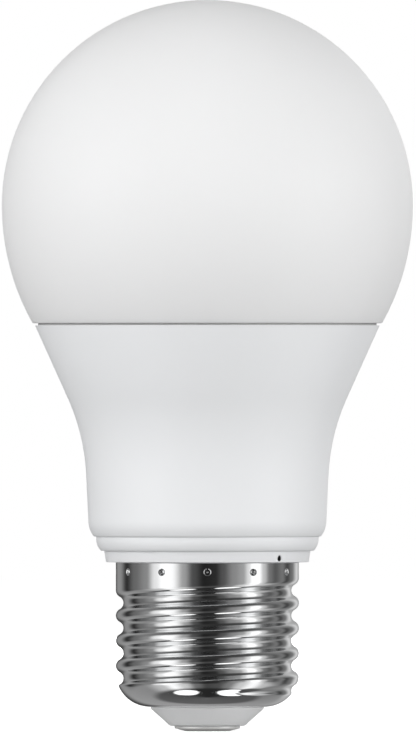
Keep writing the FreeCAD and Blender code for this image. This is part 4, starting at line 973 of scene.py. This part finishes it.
# %% Bearing and height of each direction
STUDIO_TURN = 8
world = bpy.data.worlds.new("studio")
bpy.context.scene.world = world
world.use_nodes = True
sky = world.node_tree
sky.nodes.clear()
place = sky.nodes.new("ShaderNodeTexCoord")
split = sky.nodes.new("ShaderNodeSeparateXYZ")
sky.links.new(place.outputs["Generated"], split.inputs[0])
toward = math_node(sky, "MULTIPLY", split.outputs["Y"], -1)
bearing = math_node(sky, "ARCTAN2", split.outputs["X"], toward)
around = math_node(sky, "MULTIPLY_ADD", bearing, 1 / (2 * pi))
around.node.inputs[2].default_value = 0.5 - STUDIO_TURN / 360
rise = math_node(sky, "ARCSINE", split.outputs["Z"])
print("the studio is turned by", STUDIO_TURN, "degrees")


# %% Blend the rings from one height to the next
def smooth_step(tree, value, start, stop):
    """0 where the value is at start, 1 where it is at stop, smooth between."""
    span = tree.nodes.new("ShaderNodeMapRange")
    span.interpolation_type = "SMOOTHSTEP"
    span.inputs["From Min"].default_value = start
    span.inputs["From Max"].default_value = stop
    tree.links.new(value, span.inputs["Value"])
    return span.outputs["Result"]


studio = ring(sky, around, LEVEL_RING)
for stops, start, stop in ((HIGH_RING, 12, 40), (SLOPE_RING, -14, -30), (LOW_RING, -46, -56)):
    blend = smooth_step(sky, rise, radians(start), radians(stop))
    studio = mixed(sky, blend, studio, ring(sky, around, stops))
print("stops in the level ring:", len(LEVEL_RING))


# %% Two white oval panels, low on both sides
def low_panel(tree, middle, half_width, depression, half_height):
    """1 inside an oval panel below the horizon, soft at its edge; angles in degrees."""
    across = math_node(tree, "SUBTRACT", bearing, radians(middle))
    across = math_node(tree, "DIVIDE", across, radians(half_width))
    down = math_node(tree, "ADD", rise, radians(depression))
    down = math_node(tree, "DIVIDE", down, radians(half_height))
    square = math_node(tree, "ADD", math_node(tree, "POWER", math_node(tree, "ABSOLUTE", across), 2),
                       math_node(tree, "POWER", math_node(tree, "ABSOLUTE", down), 2))
    return smooth_step(tree, square, 1.15, 0.75)


PANEL_WHITE = (1.15, 1.15, 1.15)
PANEL_BEARINGS = (-49, 52)
for middle in PANEL_BEARINGS:
    studio = mixed(sky, low_panel(sky, middle, 30, 65, 10), studio, PANEL_WHITE)
print("low panels at bearings:", PANEL_BEARINGS)

# %% [markdown]
# ## The world
#
# One world does three jobs. The camera sees plain white behind the bulb. Diffuse rays see
# an even room, a little dimmer overhead, which gives the plastic its soft base light.
# Glossy rays see the drawn surround. One picture of a room could do all three, but then a
# change made for the metal would change the plastic too.

# %% The world: white to the camera, even to diffuse rays, the studio to glossy rays
ROOM_LIGHT = 0.6
MIRROR_LIGHT = 1.35
CEILING_GREY = (0.72, 0.72, 0.72)
rays = sky.nodes.new("ShaderNodeLightPath")
room = sky.nodes.new("ShaderNodeBackground")
room.inputs["Strength"].default_value = ROOM_LIGHT
overhead = smooth_step(sky, rise, radians(5), radians(70))
sky.links.new(mixed(sky, overhead, WHITE, CEILING_GREY), room.inputs["Color"])
mirror = sky.nodes.new("ShaderNodeBackground")
mirror.inputs["Strength"].default_value = MIRROR_LIGHT
sky.links.new(studio, mirror.inputs["Color"])
white = sky.nodes.new("ShaderNodeBackground")
white.inputs["Strength"].default_value = 1.0
white.inputs["Color"].default_value = (*WHITE, 1)
for_glossy = sky.nodes.new("ShaderNodeMixShader")
sky.links.new(rays.outputs["Is Glossy Ray"], for_glossy.inputs["Fac"])
sky.links.new(room.outputs[0], for_glossy.inputs[1])
sky.links.new(mirror.outputs[0], for_glossy.inputs[2])
for_camera = sky.nodes.new("ShaderNodeMixShader")
clear = math_node(sky, "MAXIMUM", rays.outputs["Is Camera Ray"],
                  rays.outputs["Is Transmission Ray"])
sky.links.new(clear, for_camera.inputs["Fac"])
sky.links.new(for_glossy.outputs[0], for_camera.inputs[1])
sky.links.new(white.outputs[0], for_camera.inputs[2])
out = sky.nodes.new("ShaderNodeOutputWorld")
sky.links.new(for_camera.outputs[0], out.inputs["Surface"])
print("room light", ROOM_LIGHT, "and mirror light", MIRROR_LIGHT)

# %% [markdown]
# ## The soft boxes
#
# White plastic shows its shape only by soft shading. Small lamps would leave hard shadows
# and hot spots on the globe. Four wide square boxes stand round the bulb, the stronger two
# at its sides, and the globe shades off gently between them. They are hidden from glossy
# rays, because the surround already holds the highlights.

# %% Four soft boxes for the plastic
AIM_Z = 0.055


def soft_box(name, location, size, power):
    """A square lamp that points at the middle of the bulb; size in m, power in W."""
    light = bpy.data.lights.new(name, "AREA")
    light.shape = "SQUARE"
    light.size = size
    light.energy = power
    lamp = bpy.data.objects.new(name, light)
    lamp.location = location
    aim = Vector((0, 0, AIM_Z)) - Vector(location)
    lamp.rotation_euler = aim.to_track_quat("-Z", "Y").to_euler()
    lamp.visible_glossy = False
    lamp.visible_camera = False
    bpy.context.scene.collection.objects.link(lamp)
    print(f"{name}: {power} W, {Vector(location).length:.2f} m away")


soft_box("left_box", (-1.1, -0.5, 0.35), 0.9, 8.8)
soft_box("right_box", (1.1, -0.55, 0.02), 0.9, 10.8)
soft_box("front_box", (0.25, -1.3, 0.12), 0.8, 6.4)
soft_box("rear_box", (0.3, 1.3, 0.35), 0.9, 7.0)

# %% [markdown]
# ## Finish
#
# The view transform is the plain one, so a colour shows as it is written.

# %% Finish
bpy.context.scene.view_settings.view_transform = "Standard"
